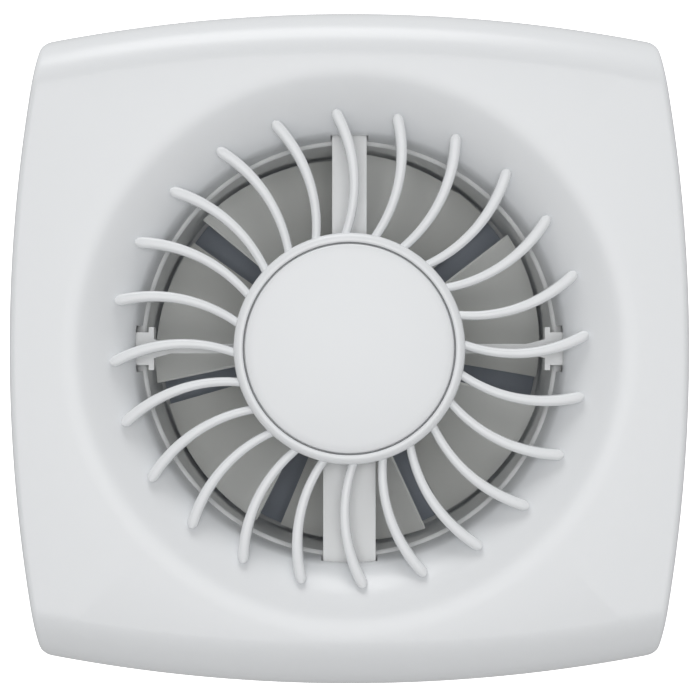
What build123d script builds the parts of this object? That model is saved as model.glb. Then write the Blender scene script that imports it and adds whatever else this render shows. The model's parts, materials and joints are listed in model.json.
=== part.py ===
from build123d import *
import os
from math import atan2, cos, pi, radians, sin, sqrt, tan

# Axial extract fan for a 100 mm duct: square clip-on cover with a bell-mouth inlet and curved guide
# vanes, seven-blade impeller on a shaded-pole motor, and a sprung two-flap backdraught shutter.
# Frame: origin on the duct axis at the wall plane, +X right, +Y into the duct, +Z up.
# The front of the fan faces -Y, so a sketch on the plane seen(y) is drawn as the fan is seen from
# the front and is extruded towards the viewer.

os.makedirs("parts", exist_ok=True)

# ---------------------------------------------------------------- cover
cover_width = 157.0         # measured at the open back edge
cover_height = 157.3
cover_depth = 30.0          # wall plane to the flat front
cover_wall_gap = 0.5        # open back edge to the wall plane
cover_wall = 2.0
cover_draft = 1.2           # degrees on the four sides
side_bulge_r = 370.0        # plan radius of the four bowed sides
roll_r = 11.0               # rolled-back top and bottom edges
roll_overrun = 0.1          # the roll meets the drafted wall at a slight angle
corner_r = 4.0
side_edge_r = 1.2

dish_width = 16.2           # throat lip to the edge of the flat front
dish_arc_r = 20.0           # section radius of the bell mouth
collar_taper = 1.2          # throat lip to the back end of the collar
collar_step = 0.9           # collar's back end outside the bore of the tube
collar_wall = 1.6
collar_end_depth = 16.2     # back end of the collar below the flat front

post_from_side = 13.5       # posts that hold the cover
post_from_top = 19.65
post_r = 2.5
post_clearance = 0.08
post_end_gap = 1.5          # post tip to the floor of its socket
socket_wall = 1.9
socket_height = 7.0

# ---------------------------------------------------------------- grille
vane_count = 24
vane_phase = 17.5           # degrees, where the first vane leaves the hub ring
vane_root_w = 1.9
vane_tip_w = 2.6
vane_root_in = 0.7          # start of a vane inside the edge of the hub ring
vane_past_lip = 4.8         # end of a vane beyond the throat lip
vane_mid_share = 0.452      # share of its length where a vane has turned furthest back
vane_mid_turn = -4.1        # degrees from the root to the middle of a vane
vane_end_turn = 1.1         # degrees from the root to the end of a vane
crest_root_depth = 2.1      # crest below the flat front at the hub ring
crest_mid_depth = 1.3
crest_mid_share = 0.521
crest_edge_r = 0.7
grille_depth = 9.0          # back of the vanes below the flat front

hub_ring_cover = 0.4        # hub ring outside the impeller hub
hub_ring_wall = 2.0
hub_ring_set_back = 0.4     # front of the ring below the flat front
hub_ring_edge_r = 1.5
hub_floor_depth = 3.6       # floor that carries the cap, below the flat front
hub_floor_wall = 1.6

cap_gap = 0.4               # open gap between cap and hub ring
cap_dome = 0.8              # rise of the domed face
cap_proud = 0.4             # apex in front of the flat front
cap_edge_r = 0.5
cap_wall = 1.6
cap_peg_r = 2.5
cap_peg_clearance = 0.05
cap_peg_length = 4.0

# ---------------------------------------------------------------- back plate
plate_clearance = 0.7       # plate to the inside of the cover
plate_wall = 2.5
plate_rim_height = 8.0
plate_rim_wall = 1.8
plate_hole_gap = 0.3        # spigot to the hole in the plate

wall_hole_x = 72.0          # hole spacing
wall_hole_from_top = 12.65
wall_hole_r = 2.25
wall_boss_r = 4.2
wall_boss_height = 1.5

# ---------------------------------------------------------------- duct tube
spigot_r = 49.5             # outside, for 100 mm duct
spigot_length = 58.0
spigot_chamfer = 1.0
spigot_wall = 1.5
throat_wall = 2.2           # in front of the plate
flange_rim = 3.3
flange_wall = 2.0
spigot_relief = 0.6         # root of the spigot, through the plate, is thinner
spigot_relief_end_y = 1.5
seat_gap = 5.5              # impeller to the shutter seat ring
seat_wall = 1.5
seat_step = 0.8             # seat ring inside the bore
outlet_step = 0.3           # bore behind the seat ring is wider
collar_gap = 0.6            # cover collar to the front of the tube

# ---------------------------------------------------------------- motor bracket
cup_gap = 1.0               # stator to the cup
cup_wall = 1.5
cup_floor_wall = 1.8
cup_front_gap = 1.5         # grille to the cup
cup_overlap = 2.0           # cup behind the stack
arm_set_back = 0.5          # front of the arms behind the front of the cup
arm_wall = 1.5
arm_past_collar = 2.5
top_arm_w = 8.0
bottom_arm_w = 12.2
side_arm_w = 2.2
side_flare_w = 4.4
side_lug_w = 10.0
side_lug_length = 2.4
side_step = 1.2
arm_notch_gap = 0.4         # arms to the notches in the collar

# ---------------------------------------------------------------- motor
shaft_r = 1.5
shaft_clearance = 0.03
shaft_front_gap = 0.7       # shaft end to the blind front of its boss
bush_r = 3.2
bush_length = 4.5
bearing_boss_r = 5.2
stack_set_back = 7.5        # front of the cup to the stack
stack_length = 14.0
stator_r = 21.0
stator_ring_r = 17.7        # inside of the back iron
pole_w = 7.6
pole_tip_r = 10.45
pole_tip_wall = 1.3
pole_tip_half_angle = 34.0
air_gap = 0.45
coil_start_r = 12.5
coil_end_r = 15.5
coil_wall = 2.6
bobbin_wall = 0.5
ear_at_r = 17.6
ear_r = 3.0
motor_screw_r = 1.25
motor_screw_clearance = 0.1
screw_head_r = 2.5
screw_head_height = 1.8
shading_ring_t = 0.9
end_ring_length = 2.0
end_ring_bore_r = 5.5
bridge_height = 5.6         # stack to the underside of the rear bearing bracket
bridge_wall = 1.8
bridge_w = 8.0

# ---------------------------------------------------------------- impeller
blade_count = 7
blade_phase = 65.2          # degrees, middle of the first blade
blade_half_angle = 20.5     # half the sector that one blade covers
blade_root_half_angle = 18.7
blade_overlap = 2.0         # front of the blades ahead of the back of the stack
blade_length = 20.0         # along the axis
blade_wall = 1.4
blade_camber = 1.3
tip_gap = 1.0               # blade tips to the tube
impeller_hub_gap = 1.3      # inside of the hub to the cup
impeller_hub_wall = 1.4
impeller_hub_lip = 1.0      # hub in front of the blades and behind them
impeller_hub_floor = 1.6
impeller_boss_r = 5.0
impeller_boss_length = 6.5
impeller_edge_r = 2.5
clip_r = 3.2
clip_wall = 0.8
shaft_tip = 1.2             # shaft end behind the clip
washer_r = 2.8
washer_wall = 0.5

# ---------------------------------------------------------------- shutter
flap_wall = 1.0
flap_seat_gap = 0.4         # flap to its seat
flap_edge_gap = 0.6         # flap to the outlet bore
flap_rib_w = 1.0
flap_rib_height = 1.2
pin_r = 1.0
pin_clearance = 0.05
knuckle_r = 1.9
knuckle_length = 8.0
flap_inner_x = 2.3          # straight edge of a flap
bar_w = 6.0
bar_wall = 2.5
bar_lug_length = 5.0
bar_lug_from_bore = 8.0     # outer lugs of the bar, in from the bore
spring_from_lug = 7.0
knuckle_from_lug = 14.0     # left flap's knuckles, in from the outer lugs
flap_rib_from_edge = 11.7   # upright rib, in from the flap's edge
spring_wire_r = 0.25
spring_bore_gap = 0.15      # coils to the pin
spring_leg_gap = 0.05       # leg to the flap
spring_turns = 5
spring_pitch = 0.6
spring_leg = 12.0

# ---------------------------------------------------------------- wiring
block_from_side = 18.5      # terminal block
block_from_bottom = 38.65
pole_pitch = 7.0
block_poles = 3
block_length = 16.0
block_height = 12.0
wire_port_r = 1.9
clamp_tube_wall = 0.6
clamp_tube_length = 12.0
terminal_screw_r = 1.3
terminal_screw_head_r = 1.7
block_screw_r = 0.9

cable_from_side = 16.5      # supply cable entry
cable_z = 4.0
cable_r = 4.0
grommet_r = 7.5
grommet_neck_r = 6.2
grommet_lip = 1.2
saddle_z = -16.0
saddle_w = 7.0
saddle_wall = 1.6
saddle_post_at = 8.0        # from the cable's middle
saddle_post_r = 2.6
saddle_screw_r = 1.2

lead_r = 0.9
lead_spacing = 3.2
lead_depth = 2.0            # leads in front of the back of the arms

# ---------------------------------------------------------------- derived sizes
tube_bore_r = spigot_r - spigot_wall
throat_outer_r = tube_bore_r + throat_wall
flange_r = throat_outer_r + flange_rim
seat_bore_r = tube_bore_r - seat_step
outlet_bore_r = tube_bore_r + outlet_step
collar_end_r = tube_bore_r + collar_step
lip_r = collar_end_r + collar_taper
dish_r = lip_r + dish_width
arm_end_r = collar_end_r + arm_past_collar
side_lug_r = tube_bore_r - side_lug_length
cup_r = stator_r + cup_gap + cup_wall
impeller_hub_r = cup_r + impeller_hub_gap + impeller_hub_wall
hub_ring_r = impeller_hub_r + hub_ring_cover
vane_start_r = hub_ring_r - vane_root_in
vane_end_r = lip_r + vane_past_lip
vane_mid_r = vane_start_r + vane_mid_share * (vane_end_r - vane_start_r)
crest_mid_r = vane_start_r + crest_mid_share * (vane_end_r - vane_start_r)
rotor_r = pole_tip_r - air_gap
flap_r = outlet_bore_r - flap_edge_gap
flap_rib_x = flap_r - flap_rib_from_edge
bar_lug_at = tube_bore_r - bar_lug_from_bore
spring_at = bar_lug_at - spring_from_lug
left_knuckle_at = bar_lug_at - knuckle_from_lug
right_knuckle_at = left_knuckle_at / 2 + 0.5
plate_half_w = cover_width / 2 - cover_wall - plate_clearance
plate_half_h = cover_height / 2 - cover_wall - plate_clearance

# ---------------------------------------------------------------- derived positions
front_y = -cover_depth
throat_front_y = front_y + grille_depth
cup_front_y = throat_front_y + cup_front_gap
arm_front_y = cup_front_y + arm_set_back
dish_centre_y = front_y + dish_arc_r
lip_y = dish_centre_y - sqrt(dish_arc_r**2 - dish_width**2)
collar_end_y = front_y + collar_end_depth
tube_front_y = collar_end_y + collar_gap
lead_y = tube_front_y - lead_depth
stack_front_y = cup_front_y + stack_set_back
stack_back_y = stack_front_y + stack_length
cup_back_y = stack_back_y + cup_overlap
bridge_y = stack_back_y + bridge_height
blade_front_y = stack_back_y - blade_overlap
impeller_hub_front_y = blade_front_y - impeller_hub_lip
impeller_back_y = blade_front_y + blade_length + impeller_hub_lip
clip_y = impeller_back_y + washer_wall
seat_y = impeller_back_y + seat_gap
flap_front_y = seat_y + seat_wall + flap_seat_gap
pin_y = flap_front_y + flap_wall + 1.2
tube_back_y = spigot_length
plate_front_y = -plate_wall
post_x = cover_width / 2 - post_from_side
post_z = cover_height / 2 - post_from_top
wall_hole_z = cover_height - 2 * wall_hole_from_top
block_x = cover_width / 2 - block_from_side
block_z = block_from_bottom - cover_height / 2
cable_x = cover_width / 2 - cable_from_side


def seen(y: float) -> Plane:
    """Plane at depth y, seen from the front; extruding from it comes towards the viewer."""
    return Plane.XZ.offset(-y)


def bowed_square(half_w: float, half_h: float) -> None:
    """Add a square with four bowed sides to the sketch that is open."""
    centre_x = side_bulge_r - half_w
    centre_z = side_bulge_r - half_h
    with Locations((centre_x, 0)):
        Circle(side_bulge_r)
    with Locations((-centre_x, 0)):
        Circle(side_bulge_r, mode=Mode.INTERSECT)
    with Locations((0, centre_z)):
        Circle(side_bulge_r, mode=Mode.INTERSECT)
    with Locations((0, -centre_z)):
        Circle(side_bulge_r, mode=Mode.INTERSECT)


def cover_form(inset: float) -> Part:
    """Solid form of the cover, moved inwards by inset on every side but the open back."""
    half_w = cover_width / 2 - inset
    half_h = cover_height / 2 - inset
    form_front_y = front_y + inset
    form_roll_r = roll_r - inset
    with BuildPart() as form:
        with BuildSketch(seen(-cover_wall_gap)) as plan:
            bowed_square(half_w, half_h)
            fillet(plan.vertices(), corner_r - inset / 2)
        extrude(amount=-cover_wall_gap - form_front_y, taper=cover_draft)
        # roll the top and bottom edges back, along the bow of each edge
        roll_half = half_h - tan(radians(cover_draft)) * (cover_depth - roll_r) + roll_overrun
        for side in (-1, 1):
            with BuildSketch(Plane.YZ):
                with BuildLine():
                    roll_start = (form_front_y, side * (roll_half - form_roll_r))
                    roll_end = (form_front_y + form_roll_r, side * roll_half)
                    bulge = form_roll_r * sqrt(0.5)
                    roll_mid = (
                        form_front_y + form_roll_r - bulge,
                        side * (roll_half - form_roll_r + bulge),
                    )
                    ThreePointArc(roll_start, roll_mid, roll_end)
                    Polyline(
                        roll_end,
                        (roll_end[0], side * (half_h + 5)),
                        (form_front_y - 5, side * (half_h + 5)),
                        (form_front_y - 5, roll_start[1]),
                        roll_start,
                    )
                make_face()
            bow_centre = Axis((0, 0, side * (half_h - side_bulge_r)), (0, 1, 0))
            cutter = revolve(axis=bow_centre, revolution_arc=30, mode=Mode.PRIVATE)
            add(cutter.rotate(bow_centre, -15), mode=Mode.SUBTRACT)
    return form.part


def dish_point(radius: float, section_r: float) -> tuple:
    """Point of the bell mouth's section, at a radius from the duct axis."""
    return (radius, dish_centre_y - sqrt(section_r**2 - (dish_r - radius) ** 2))


def polar(radius: float, angle: float) -> tuple:
    """Point in the front view, angle in degrees from +X towards +Z."""
    return (radius * cos(radians(angle)), radius * sin(radians(angle)))


def write(piece: Part, name: str) -> None:
    """Label a finished piece and write it as one STEP file."""
    piece.label = name
    export_step(piece, f"parts/{name}.step")


# ================================================================ front cover
cover_outside = cover_form(0)
cover_inside = cover_form(cover_wall)

with BuildPart() as cover_shell:
    add(cover_outside)
    side_edges = cover_shell.edges().filter_by(
        lambda e: e.bounding_box().min.Y < front_y + 0.9 * roll_r and abs(e.center().X) > post_r
    )
    fillet(side_edges, side_edge_r)

with BuildPart() as front_cover:
    add(cover_shell.part)
    add(cover_inside, mode=Mode.SUBTRACT)
    with BuildSketch(seen(front_y + cover_wall + 1)):
        Circle(dish_r)
    extrude(amount=cover_wall + 2, mode=Mode.SUBTRACT)
    # bell mouth and collar
    collar_outer_r = lip_r + collar_wall
    with BuildSketch(Plane.XY):
        with BuildLine():
            section_mid = dish_point((dish_r + lip_r) / 2, dish_arc_r)
            ThreePointArc((dish_r, front_y), section_mid, (lip_r, lip_y))
            Line((lip_r, lip_y), (collar_end_r, collar_end_y))
            Line((collar_end_r, collar_end_y), (collar_end_r + collar_wall, collar_end_y))
            inner_r = dish_arc_r - cover_wall
            back_lip = dish_point(collar_outer_r, inner_r)
            Line((collar_end_r + collar_wall, collar_end_y), back_lip)
            back_mid = dish_point((dish_r + collar_outer_r) / 2, inner_r)
            ThreePointArc(back_lip, back_mid, (dish_r, front_y + cover_wall))
            Line((dish_r, front_y + cover_wall), (dish_r, front_y))
        make_face()
    revolve(axis=Axis.Y)
    # notches in the collar, open to the back, that the bracket's arms pass through
    notch_front_y = arm_front_y - 2 * arm_notch_gap
    notch_mid_r = (collar_end_r + arm_end_r) / 2 + 0.5
    with BuildSketch(seen(collar_end_y + 1)):
        with Locations((0, notch_mid_r)):
            Rectangle(top_arm_w + 2 * arm_notch_gap, 5.5)
        with Locations((0, -notch_mid_r)):
            Rectangle(bottom_arm_w + 2 * arm_notch_gap, 5.5)
        with Locations((notch_mid_r, 0), (-notch_mid_r, 0)):
            Rectangle(5.5, side_lug_w + 2 * arm_notch_gap)
    extrude(amount=collar_end_y + 1 - notch_front_y, mode=Mode.SUBTRACT)
    # posts that hold the cover
    post_tip_y = plate_front_y - post_end_gap
    with BuildSketch(seen(post_tip_y)):
        with GridLocations(2 * post_x, 2 * post_z, 2, 2):
            Circle(post_r)
    extrude(amount=post_tip_y - (front_y + cover_wall / 2))
write(front_cover.part, "front_cover")

# ================================================================ grille
with BuildPart() as grille_hub:
    ring_front_y = front_y + hub_ring_set_back
    with BuildSketch(seen(throat_front_y)):
        Circle(hub_ring_r)
    extrude(amount=throat_front_y - ring_front_y)
    fillet(grille_hub.faces().sort_by(Axis.Y)[0].edges(), hub_ring_edge_r)
    # recess for the cap
    with BuildSketch(seen(front_y + hub_floor_depth)):
        Circle(hub_ring_r - hub_ring_wall - 0.2)
    extrude(amount=hub_floor_depth, mode=Mode.SUBTRACT)
    # hollow back
    with BuildSketch(seen(throat_front_y)):
        Circle(hub_ring_r - hub_ring_wall)
    hollow_depth = grille_depth - hub_floor_depth - hub_floor_wall
    extrude(amount=hollow_depth, mode=Mode.SUBTRACT)
    # socket for the cap's peg
    with BuildSketch(seen(front_y + hub_floor_depth + cap_peg_length)):
        Circle(cap_peg_r + 1.6)
    extrude(amount=cap_peg_length)
    with BuildSketch(seen(throat_front_y)):
        Circle(cap_peg_r + cap_peg_clearance)
    extrude(amount=grille_depth, mode=Mode.SUBTRACT)
write(grille_hub.part, "grille_hub")

cap_r = hub_ring_r - hub_ring_wall - 0.2 - cap_gap
with BuildPart() as centre_cap:
    apex_y = front_y - cap_proud
    cap_seat_y = front_y + hub_floor_depth
    with BuildSketch(Plane.XY) as cap_section:
        with BuildLine():
            dome_mid_r = cap_r / 2
            ThreePointArc(
                (0, apex_y),
                (dome_mid_r, apex_y + cap_dome / 4),
                (cap_r, apex_y + cap_dome),
            )
            Line((cap_r, apex_y + cap_dome), (cap_r, cap_seat_y))
            Line((cap_r, cap_seat_y), (cap_r - cap_wall, cap_seat_y))
            under_y = apex_y + cap_dome + cap_wall
            Line((cap_r - cap_wall, cap_seat_y), (cap_r - cap_wall, under_y))
            Line((cap_r - cap_wall, under_y), (0, under_y))
            Line((0, under_y), (0, apex_y))
        make_face()
        rim_corner = cap_section.vertices().group_by(Axis.X)[-1].sort_by(Axis.Y)[0]
        fillet(rim_corner, cap_edge_r)
    revolve(axis=Axis.Y)
    with BuildSketch(seen(front_y + hub_floor_depth + cap_peg_length)):
        Circle(cap_peg_r)
    extrude(amount=hub_floor_depth + cap_peg_length - cap_dome - 0.5)
write(centre_cap.part, "centre_cap")

# one guide vane: a curved blade with a rounded crest that runs out flush in the bell mouth
vane_start = Vector(*polar(vane_start_r, vane_phase))
vane_mid = Vector(*polar(vane_mid_r, vane_phase + vane_mid_turn))
vane_end = Vector(*polar(vane_end_r, vane_phase + vane_end_turn))
vane_arc = Edge.make_three_point_arc(vane_start, vane_mid, vane_end)
vane_centre = vane_arc.arc_center
vane_arc_r = vane_arc.radius


def vane_side(point: Vector, offset: float) -> Vector:
    """Point on one side of the vane, offset outwards from its centreline."""
    outwards = (point - vane_centre).normalized()
    return vane_centre + outwards * (vane_arc_r + offset)


with BuildPart() as vane:
    with BuildSketch(seen(throat_front_y)):
        with BuildLine():
            mid_w = (vane_root_w + vane_tip_w) / 2
            outer = [
                vane_side(vane_start, vane_root_w / 2),
                vane_side(vane_mid, mid_w / 2),
                vane_side(vane_end, vane_tip_w / 2),
            ]
            inner = [
                vane_side(vane_end, -vane_tip_w / 2),
                vane_side(vane_mid, -mid_w / 2),
                vane_side(vane_start, -vane_root_w / 2),
            ]
            tip = vane_end + vane_end.normalized() * (vane_tip_w / 2)
            ThreePointArc(*outer)
            ThreePointArc(outer[2], tip, inner[0])
            ThreePointArc(*inner)
            Line(inner[2], outer[0])
        make_face()
    extrude(amount=grille_depth)
    # crest line
    with BuildSketch(Plane.XY):
        with BuildLine():
            crest_in = (vane_start_r - 2, front_y + crest_root_depth)
            crest_out = dish_point(vane_end_r + vane_tip_w, dish_arc_r)
            crest_end = (crest_out[0], crest_out[1] - 0.15)
            ThreePointArc(crest_in, (crest_mid_r, front_y + crest_mid_depth), crest_end)
            Line(crest_end, (crest_end[0], throat_front_y))
            Line((crest_end[0], throat_front_y), (crest_in[0], throat_front_y))
            Line((crest_in[0], throat_front_y), crest_in)
        make_face()
    revolve(axis=Axis.Y, mode=Mode.INTERSECT)
    crest_edges = vane.edges().filter_by(
        lambda e: e.length > 15 and e.center().Y < front_y + 5
    )
    fillet(crest_edges, crest_edge_r)
    # hub ring
    with BuildSketch(seen(throat_front_y)):
        Circle(hub_ring_r)
    extrude(amount=grille_depth, mode=Mode.SUBTRACT)
    # everything behind the bell mouth's surface
    with BuildSketch(Plane.XY):
        with BuildLine():
            ThreePointArc((dish_r, front_y), section_mid, (lip_r, lip_y))
            Line((lip_r, lip_y), (collar_end_r, collar_end_y))
            Line((collar_end_r, collar_end_y), (dish_r, collar_end_y))
            Line((dish_r, collar_end_y), (dish_r, front_y))
        make_face()
    revolve(axis=Axis.Y, mode=Mode.SUBTRACT)

with BuildPart() as guide_vanes:
    for index in range(vane_count):
        add(vane.part.rotate(Axis.Y, -360 / vane_count * index))
write(guide_vanes.part, "guide_vanes")

# ================================================================ back plate
with BuildPart() as back_plate:
    with BuildSketch(seen(0)):
        bowed_square(plate_half_w, plate_half_h)
    extrude(amount=plate_rim_height)
    fillet(back_plate.edges().filter_by(Axis.Y), corner_r - 1)
    with BuildSketch(seen(plate_front_y)):
        bowed_square(plate_half_w - plate_rim_wall, plate_half_h - plate_rim_wall)
    extrude(amount=plate_rim_height, mode=Mode.SUBTRACT)
    # sockets for the cover's posts
    with BuildSketch(seen(plate_front_y)):
        with GridLocations(2 * post_x, 2 * post_z, 2, 2):
            Circle(post_r + socket_wall)
    extrude(amount=socket_height)
    with BuildSketch(seen(plate_front_y)):
        with GridLocations(2 * post_x, 2 * post_z, 2, 2):
            Circle(post_r + post_clearance)
    extrude(amount=socket_height, mode=Mode.SUBTRACT)
    # wall-screw bosses
    with BuildSketch(seen(plate_front_y)):
        with GridLocations(wall_hole_x, wall_hole_z, 2, 2):
            Circle(wall_boss_r)
    extrude(amount=wall_boss_height)
    # posts of the cable saddle
    saddle_y = plate_front_y - 2 * cable_r + 1
    with BuildSketch(seen(plate_front_y)):
        with Locations(
            (cable_x - saddle_post_at, saddle_z), (cable_x + saddle_post_at, saddle_z)
        ):
            Circle(saddle_post_r)
    extrude(amount=plate_front_y - saddle_y)
    with BuildSketch(seen(plate_front_y)):
        with Locations(
            (cable_x - saddle_post_at, saddle_z), (cable_x + saddle_post_at, saddle_z)
        ):
            Circle(saddle_screw_r)
    extrude(amount=plate_front_y - saddle_y, mode=Mode.SUBTRACT)
    # holes: duct tube, wall screws, cable grommet, terminal block screw
    with BuildSketch(seen(0)):
        Circle(spigot_r + plate_hole_gap)
        with GridLocations(wall_hole_x, wall_hole_z, 2, 2):
            Circle(wall_hole_r)
        with Locations((cable_x, cable_z)):
            Circle(grommet_neck_r)
    extrude(amount=plate_rim_height, mode=Mode.SUBTRACT)
    with BuildSketch(seen(-0.8)):
        with Locations((block_x - pole_pitch / 2, block_z)):
            Circle(block_screw_r)
    extrude(amount=plate_wall, mode=Mode.SUBTRACT)
write(back_plate.part, "back_plate")

# ================================================================ duct tube
with BuildPart() as duct_tube:
    with BuildSketch(Plane.XY):
        with BuildLine():
            Polyline(
                (tube_bore_r, tube_front_y),
                (throat_outer_r, tube_front_y),
                (throat_outer_r, plate_front_y - flange_wall),
                (flange_r, plate_front_y - flange_wall),
                (flange_r, plate_front_y),
                (spigot_r - spigot_relief, plate_front_y),
                (spigot_r - spigot_relief, spigot_relief_end_y),
                (spigot_r, spigot_relief_end_y),
                (spigot_r, tube_back_y - spigot_chamfer),
                (spigot_r - spigot_chamfer / 2, tube_back_y),
                (outlet_bore_r, tube_back_y),
                (outlet_bore_r, seat_y + seat_wall),
                (seat_bore_r, seat_y + seat_wall),
                (seat_bore_r, seat_y),
                (tube_bore_r, seat_y - 0.8),
                (tube_bore_r, tube_front_y),
            )
        make_face()
    revolve(axis=Axis.Y)
write(duct_tube.part, "duct_tube")

# ================================================================ motor bracket
arm_back_y = tube_front_y
arm_depth = arm_back_y - arm_front_y
with BuildPart() as motor_bracket:
    with BuildSketch(seen(cup_back_y)):
        Circle(cup_r)
    extrude(amount=cup_back_y - cup_front_y)
    fillet(motor_bracket.faces().sort_by(Axis.Y)[0].edges(), 1.0)
    # arms
    with BuildSketch(seen(arm_back_y)):
        top_length = arm_end_r - cup_r + 2
        with Locations((0, arm_end_r - top_length / 2)):
            Rectangle(top_arm_w, top_length)
        with Locations((0, -arm_end_r + top_length / 2)):
            Rectangle(bottom_arm_w, top_length)
        for side in (-1, 1):
            with BuildLine():
                Polyline(
                    (side * (cup_r - 2), side_arm_w / 2),
                    (side * (side_lug_r - 4), side_arm_w / 2),
                    (side * side_lug_r, side_flare_w / 2),
                    (side * side_lug_r, side_lug_w / 2),
                    (side * (tube_bore_r - side_step), side_lug_w / 2),
                    (side * (tube_bore_r - side_step), side_lug_w / 2 - side_step),
                    (side * arm_end_r, side_lug_w / 2 - side_step),
                    (side * arm_end_r, side_step - side_lug_w / 2),
                    (side * (tube_bore_r - side_step), side_step - side_lug_w / 2),
                    (side * (tube_bore_r - side_step), -side_lug_w / 2),
                    (side * side_lug_r, -side_lug_w / 2),
                    (side * side_lug_r, -side_flare_w / 2),
                    (side * (side_lug_r - 4), -side_arm_w / 2),
                    (side * (cup_r - 2), -side_arm_w / 2),
                    close=True,
                )
            make_face()
    extrude(amount=arm_depth)
    # channels in the back of the two wide arms, the lower one for the motor leads
    with BuildSketch(seen(arm_back_y)):
        channel_length = tube_bore_r - cup_r - 1
        with Locations((0, cup_r + channel_length / 2)):
            Rectangle(top_arm_w - 2 * arm_wall, channel_length)
        lead_channel_length = arm_end_r - cup_r + 4
        with Locations((0, -(cup_r - 4) - lead_channel_length / 2)):
            Rectangle(bottom_arm_w - 2 * arm_wall, lead_channel_length)
    extrude(amount=arm_depth - arm_wall - 0.5, mode=Mode.SUBTRACT)
    # hollow cup
    with BuildSketch(seen(cup_back_y)):
        Circle(cup_r - cup_wall)
    cup_floor_y = cup_front_y + cup_floor_wall
    extrude(amount=cup_back_y - cup_floor_y, mode=Mode.SUBTRACT)
    # bosses: front bearing and the two motor screws
    bush_front_y = cup_front_y + 1.0
    with BuildSketch(seen(bush_front_y + bush_length)):
        Circle(bearing_boss_r)
    extrude(amount=bush_length)
    with BuildSketch(seen(bush_front_y + bush_length)):
        Circle(bush_r)
    extrude(amount=bush_length, mode=Mode.SUBTRACT)
    with BuildSketch(seen(stack_front_y)):
        with Locations(polar(ear_at_r, 45), polar(ear_at_r, 225)):
            Circle(ear_r)
    extrude(amount=stack_front_y - cup_front_y - 0.5)
    with BuildSketch(seen(stack_front_y)):
        with Locations(polar(ear_at_r, 45), polar(ear_at_r, 225)):
            Circle(motor_screw_r)
    extrude(amount=stack_front_y - cup_front_y - 1.2, mode=Mode.SUBTRACT)
write(motor_bracket.part, "motor_bracket")

# ================================================================ motor
with BuildPart() as stator_core:
    with BuildSketch(seen(stack_back_y)):
        Circle(stator_r)
        Circle(stator_ring_r, mode=Mode.SUBTRACT)
        with Locations(polar(ear_at_r, 45), polar(ear_at_r, 225)):
            Circle(ear_r)
        with PolarLocations((stator_ring_r + pole_tip_r) / 2, 4):
            Rectangle(stator_ring_r - pole_tip_r + 1.0, pole_w)
        for turn in range(4):
            with BuildLine():
                start = 90 * turn - pole_tip_half_angle
                end = 90 * turn + pole_tip_half_angle
                outer_tip_r = pole_tip_r + pole_tip_wall
                ThreePointArc(
                    polar(outer_tip_r, start), polar(outer_tip_r, 90 * turn), polar(outer_tip_r, end)
                )
                Line(polar(outer_tip_r, end), polar(pole_tip_r, end))
                ThreePointArc(
                    polar(pole_tip_r, end), polar(pole_tip_r, 90 * turn), polar(pole_tip_r, start)
                )
                Line(polar(pole_tip_r, start), polar(outer_tip_r, start))
            make_face()
        Circle(pole_tip_r, mode=Mode.SUBTRACT)
        with Locations(polar(ear_at_r, 45), polar(ear_at_r, 225)):
            Circle(motor_screw_r + motor_screw_clearance, mode=Mode.SUBTRACT)
    extrude(amount=stack_length)
write(stator_core.part, "stator_core")

# one bobbin with its winding sits on each pole; drawn on the pole that points along +X
pole_half = pole_w / 2
bobbin_half = pole_half + bobbin_wall
coil_half = bobbin_half + coil_wall
stack_mid_y = (stack_front_y + stack_back_y) / 2
coil_length = coil_end_r - coil_start_r
with BuildPart() as bobbin:
    with BuildSketch(Plane.YZ.offset(coil_start_r)):
        with Locations((stack_mid_y, 0)):
            Rectangle(stack_length + 2 * bobbin_wall, 2 * bobbin_half)
            Rectangle(stack_length, pole_w, mode=Mode.SUBTRACT)
    extrude(amount=coil_length)
    with BuildSketch(Plane.YZ.offset(coil_start_r), Plane.YZ.offset(coil_end_r - 0.4)):
        with Locations((stack_mid_y, 0)):
            Rectangle(stack_length + 2 * bobbin_wall + 3, 2 * bobbin_half + 3)
            Rectangle(stack_length, pole_w, mode=Mode.SUBTRACT)
    extrude(amount=0.4)

with BuildPart() as coil:
    with BuildSketch(Plane.YZ.offset(coil_start_r + 0.4)):
        with Locations((stack_mid_y, 0)):
            RectangleRounded(
                stack_length + 2 * (bobbin_wall + coil_wall), 2 * coil_half, coil_wall - 0.4
            )
            Rectangle(stack_length + 2 * bobbin_wall, 2 * bobbin_half, mode=Mode.SUBTRACT)
    extrude(amount=coil_length - 0.8)

with BuildPart() as coil_bobbins:
    for turn in range(4):
        add(bobbin.part.rotate(Axis.Y, 90 * turn))
write(coil_bobbins.part, "coil_bobbins")

with BuildPart() as stator_coils:
    for turn in range(4):
        add(coil.part.rotate(Axis.Y, 90 * turn))
write(stator_coils.part, "stator_coils")

# copper shading rings, one round each pole tip's trailing half
with BuildPart() as shading_rings:
    for end_y in (stack_front_y, stack_back_y + shading_ring_t):
        with BuildSketch(seen(end_y)):
            with PolarLocations(pole_tip_r + pole_tip_wall / 2, 4, start_angle=22):
                Rectangle(pole_tip_wall - 0.1, 4.0)
        extrude(amount=shading_ring_t)
write(shading_rings.part, "shading_rings")

with BuildPart() as bearing_bushes:
    rear_bush_y = bridge_y + bush_length
    for back_y in (bush_front_y + bush_length, rear_bush_y):
        with BuildSketch(seen(back_y)):
            Circle(bush_r)
            Circle(shaft_r + shaft_clearance, mode=Mode.SUBTRACT)
        extrude(amount=bush_length)
write(bearing_bushes.part, "bearing_bushes")

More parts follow.
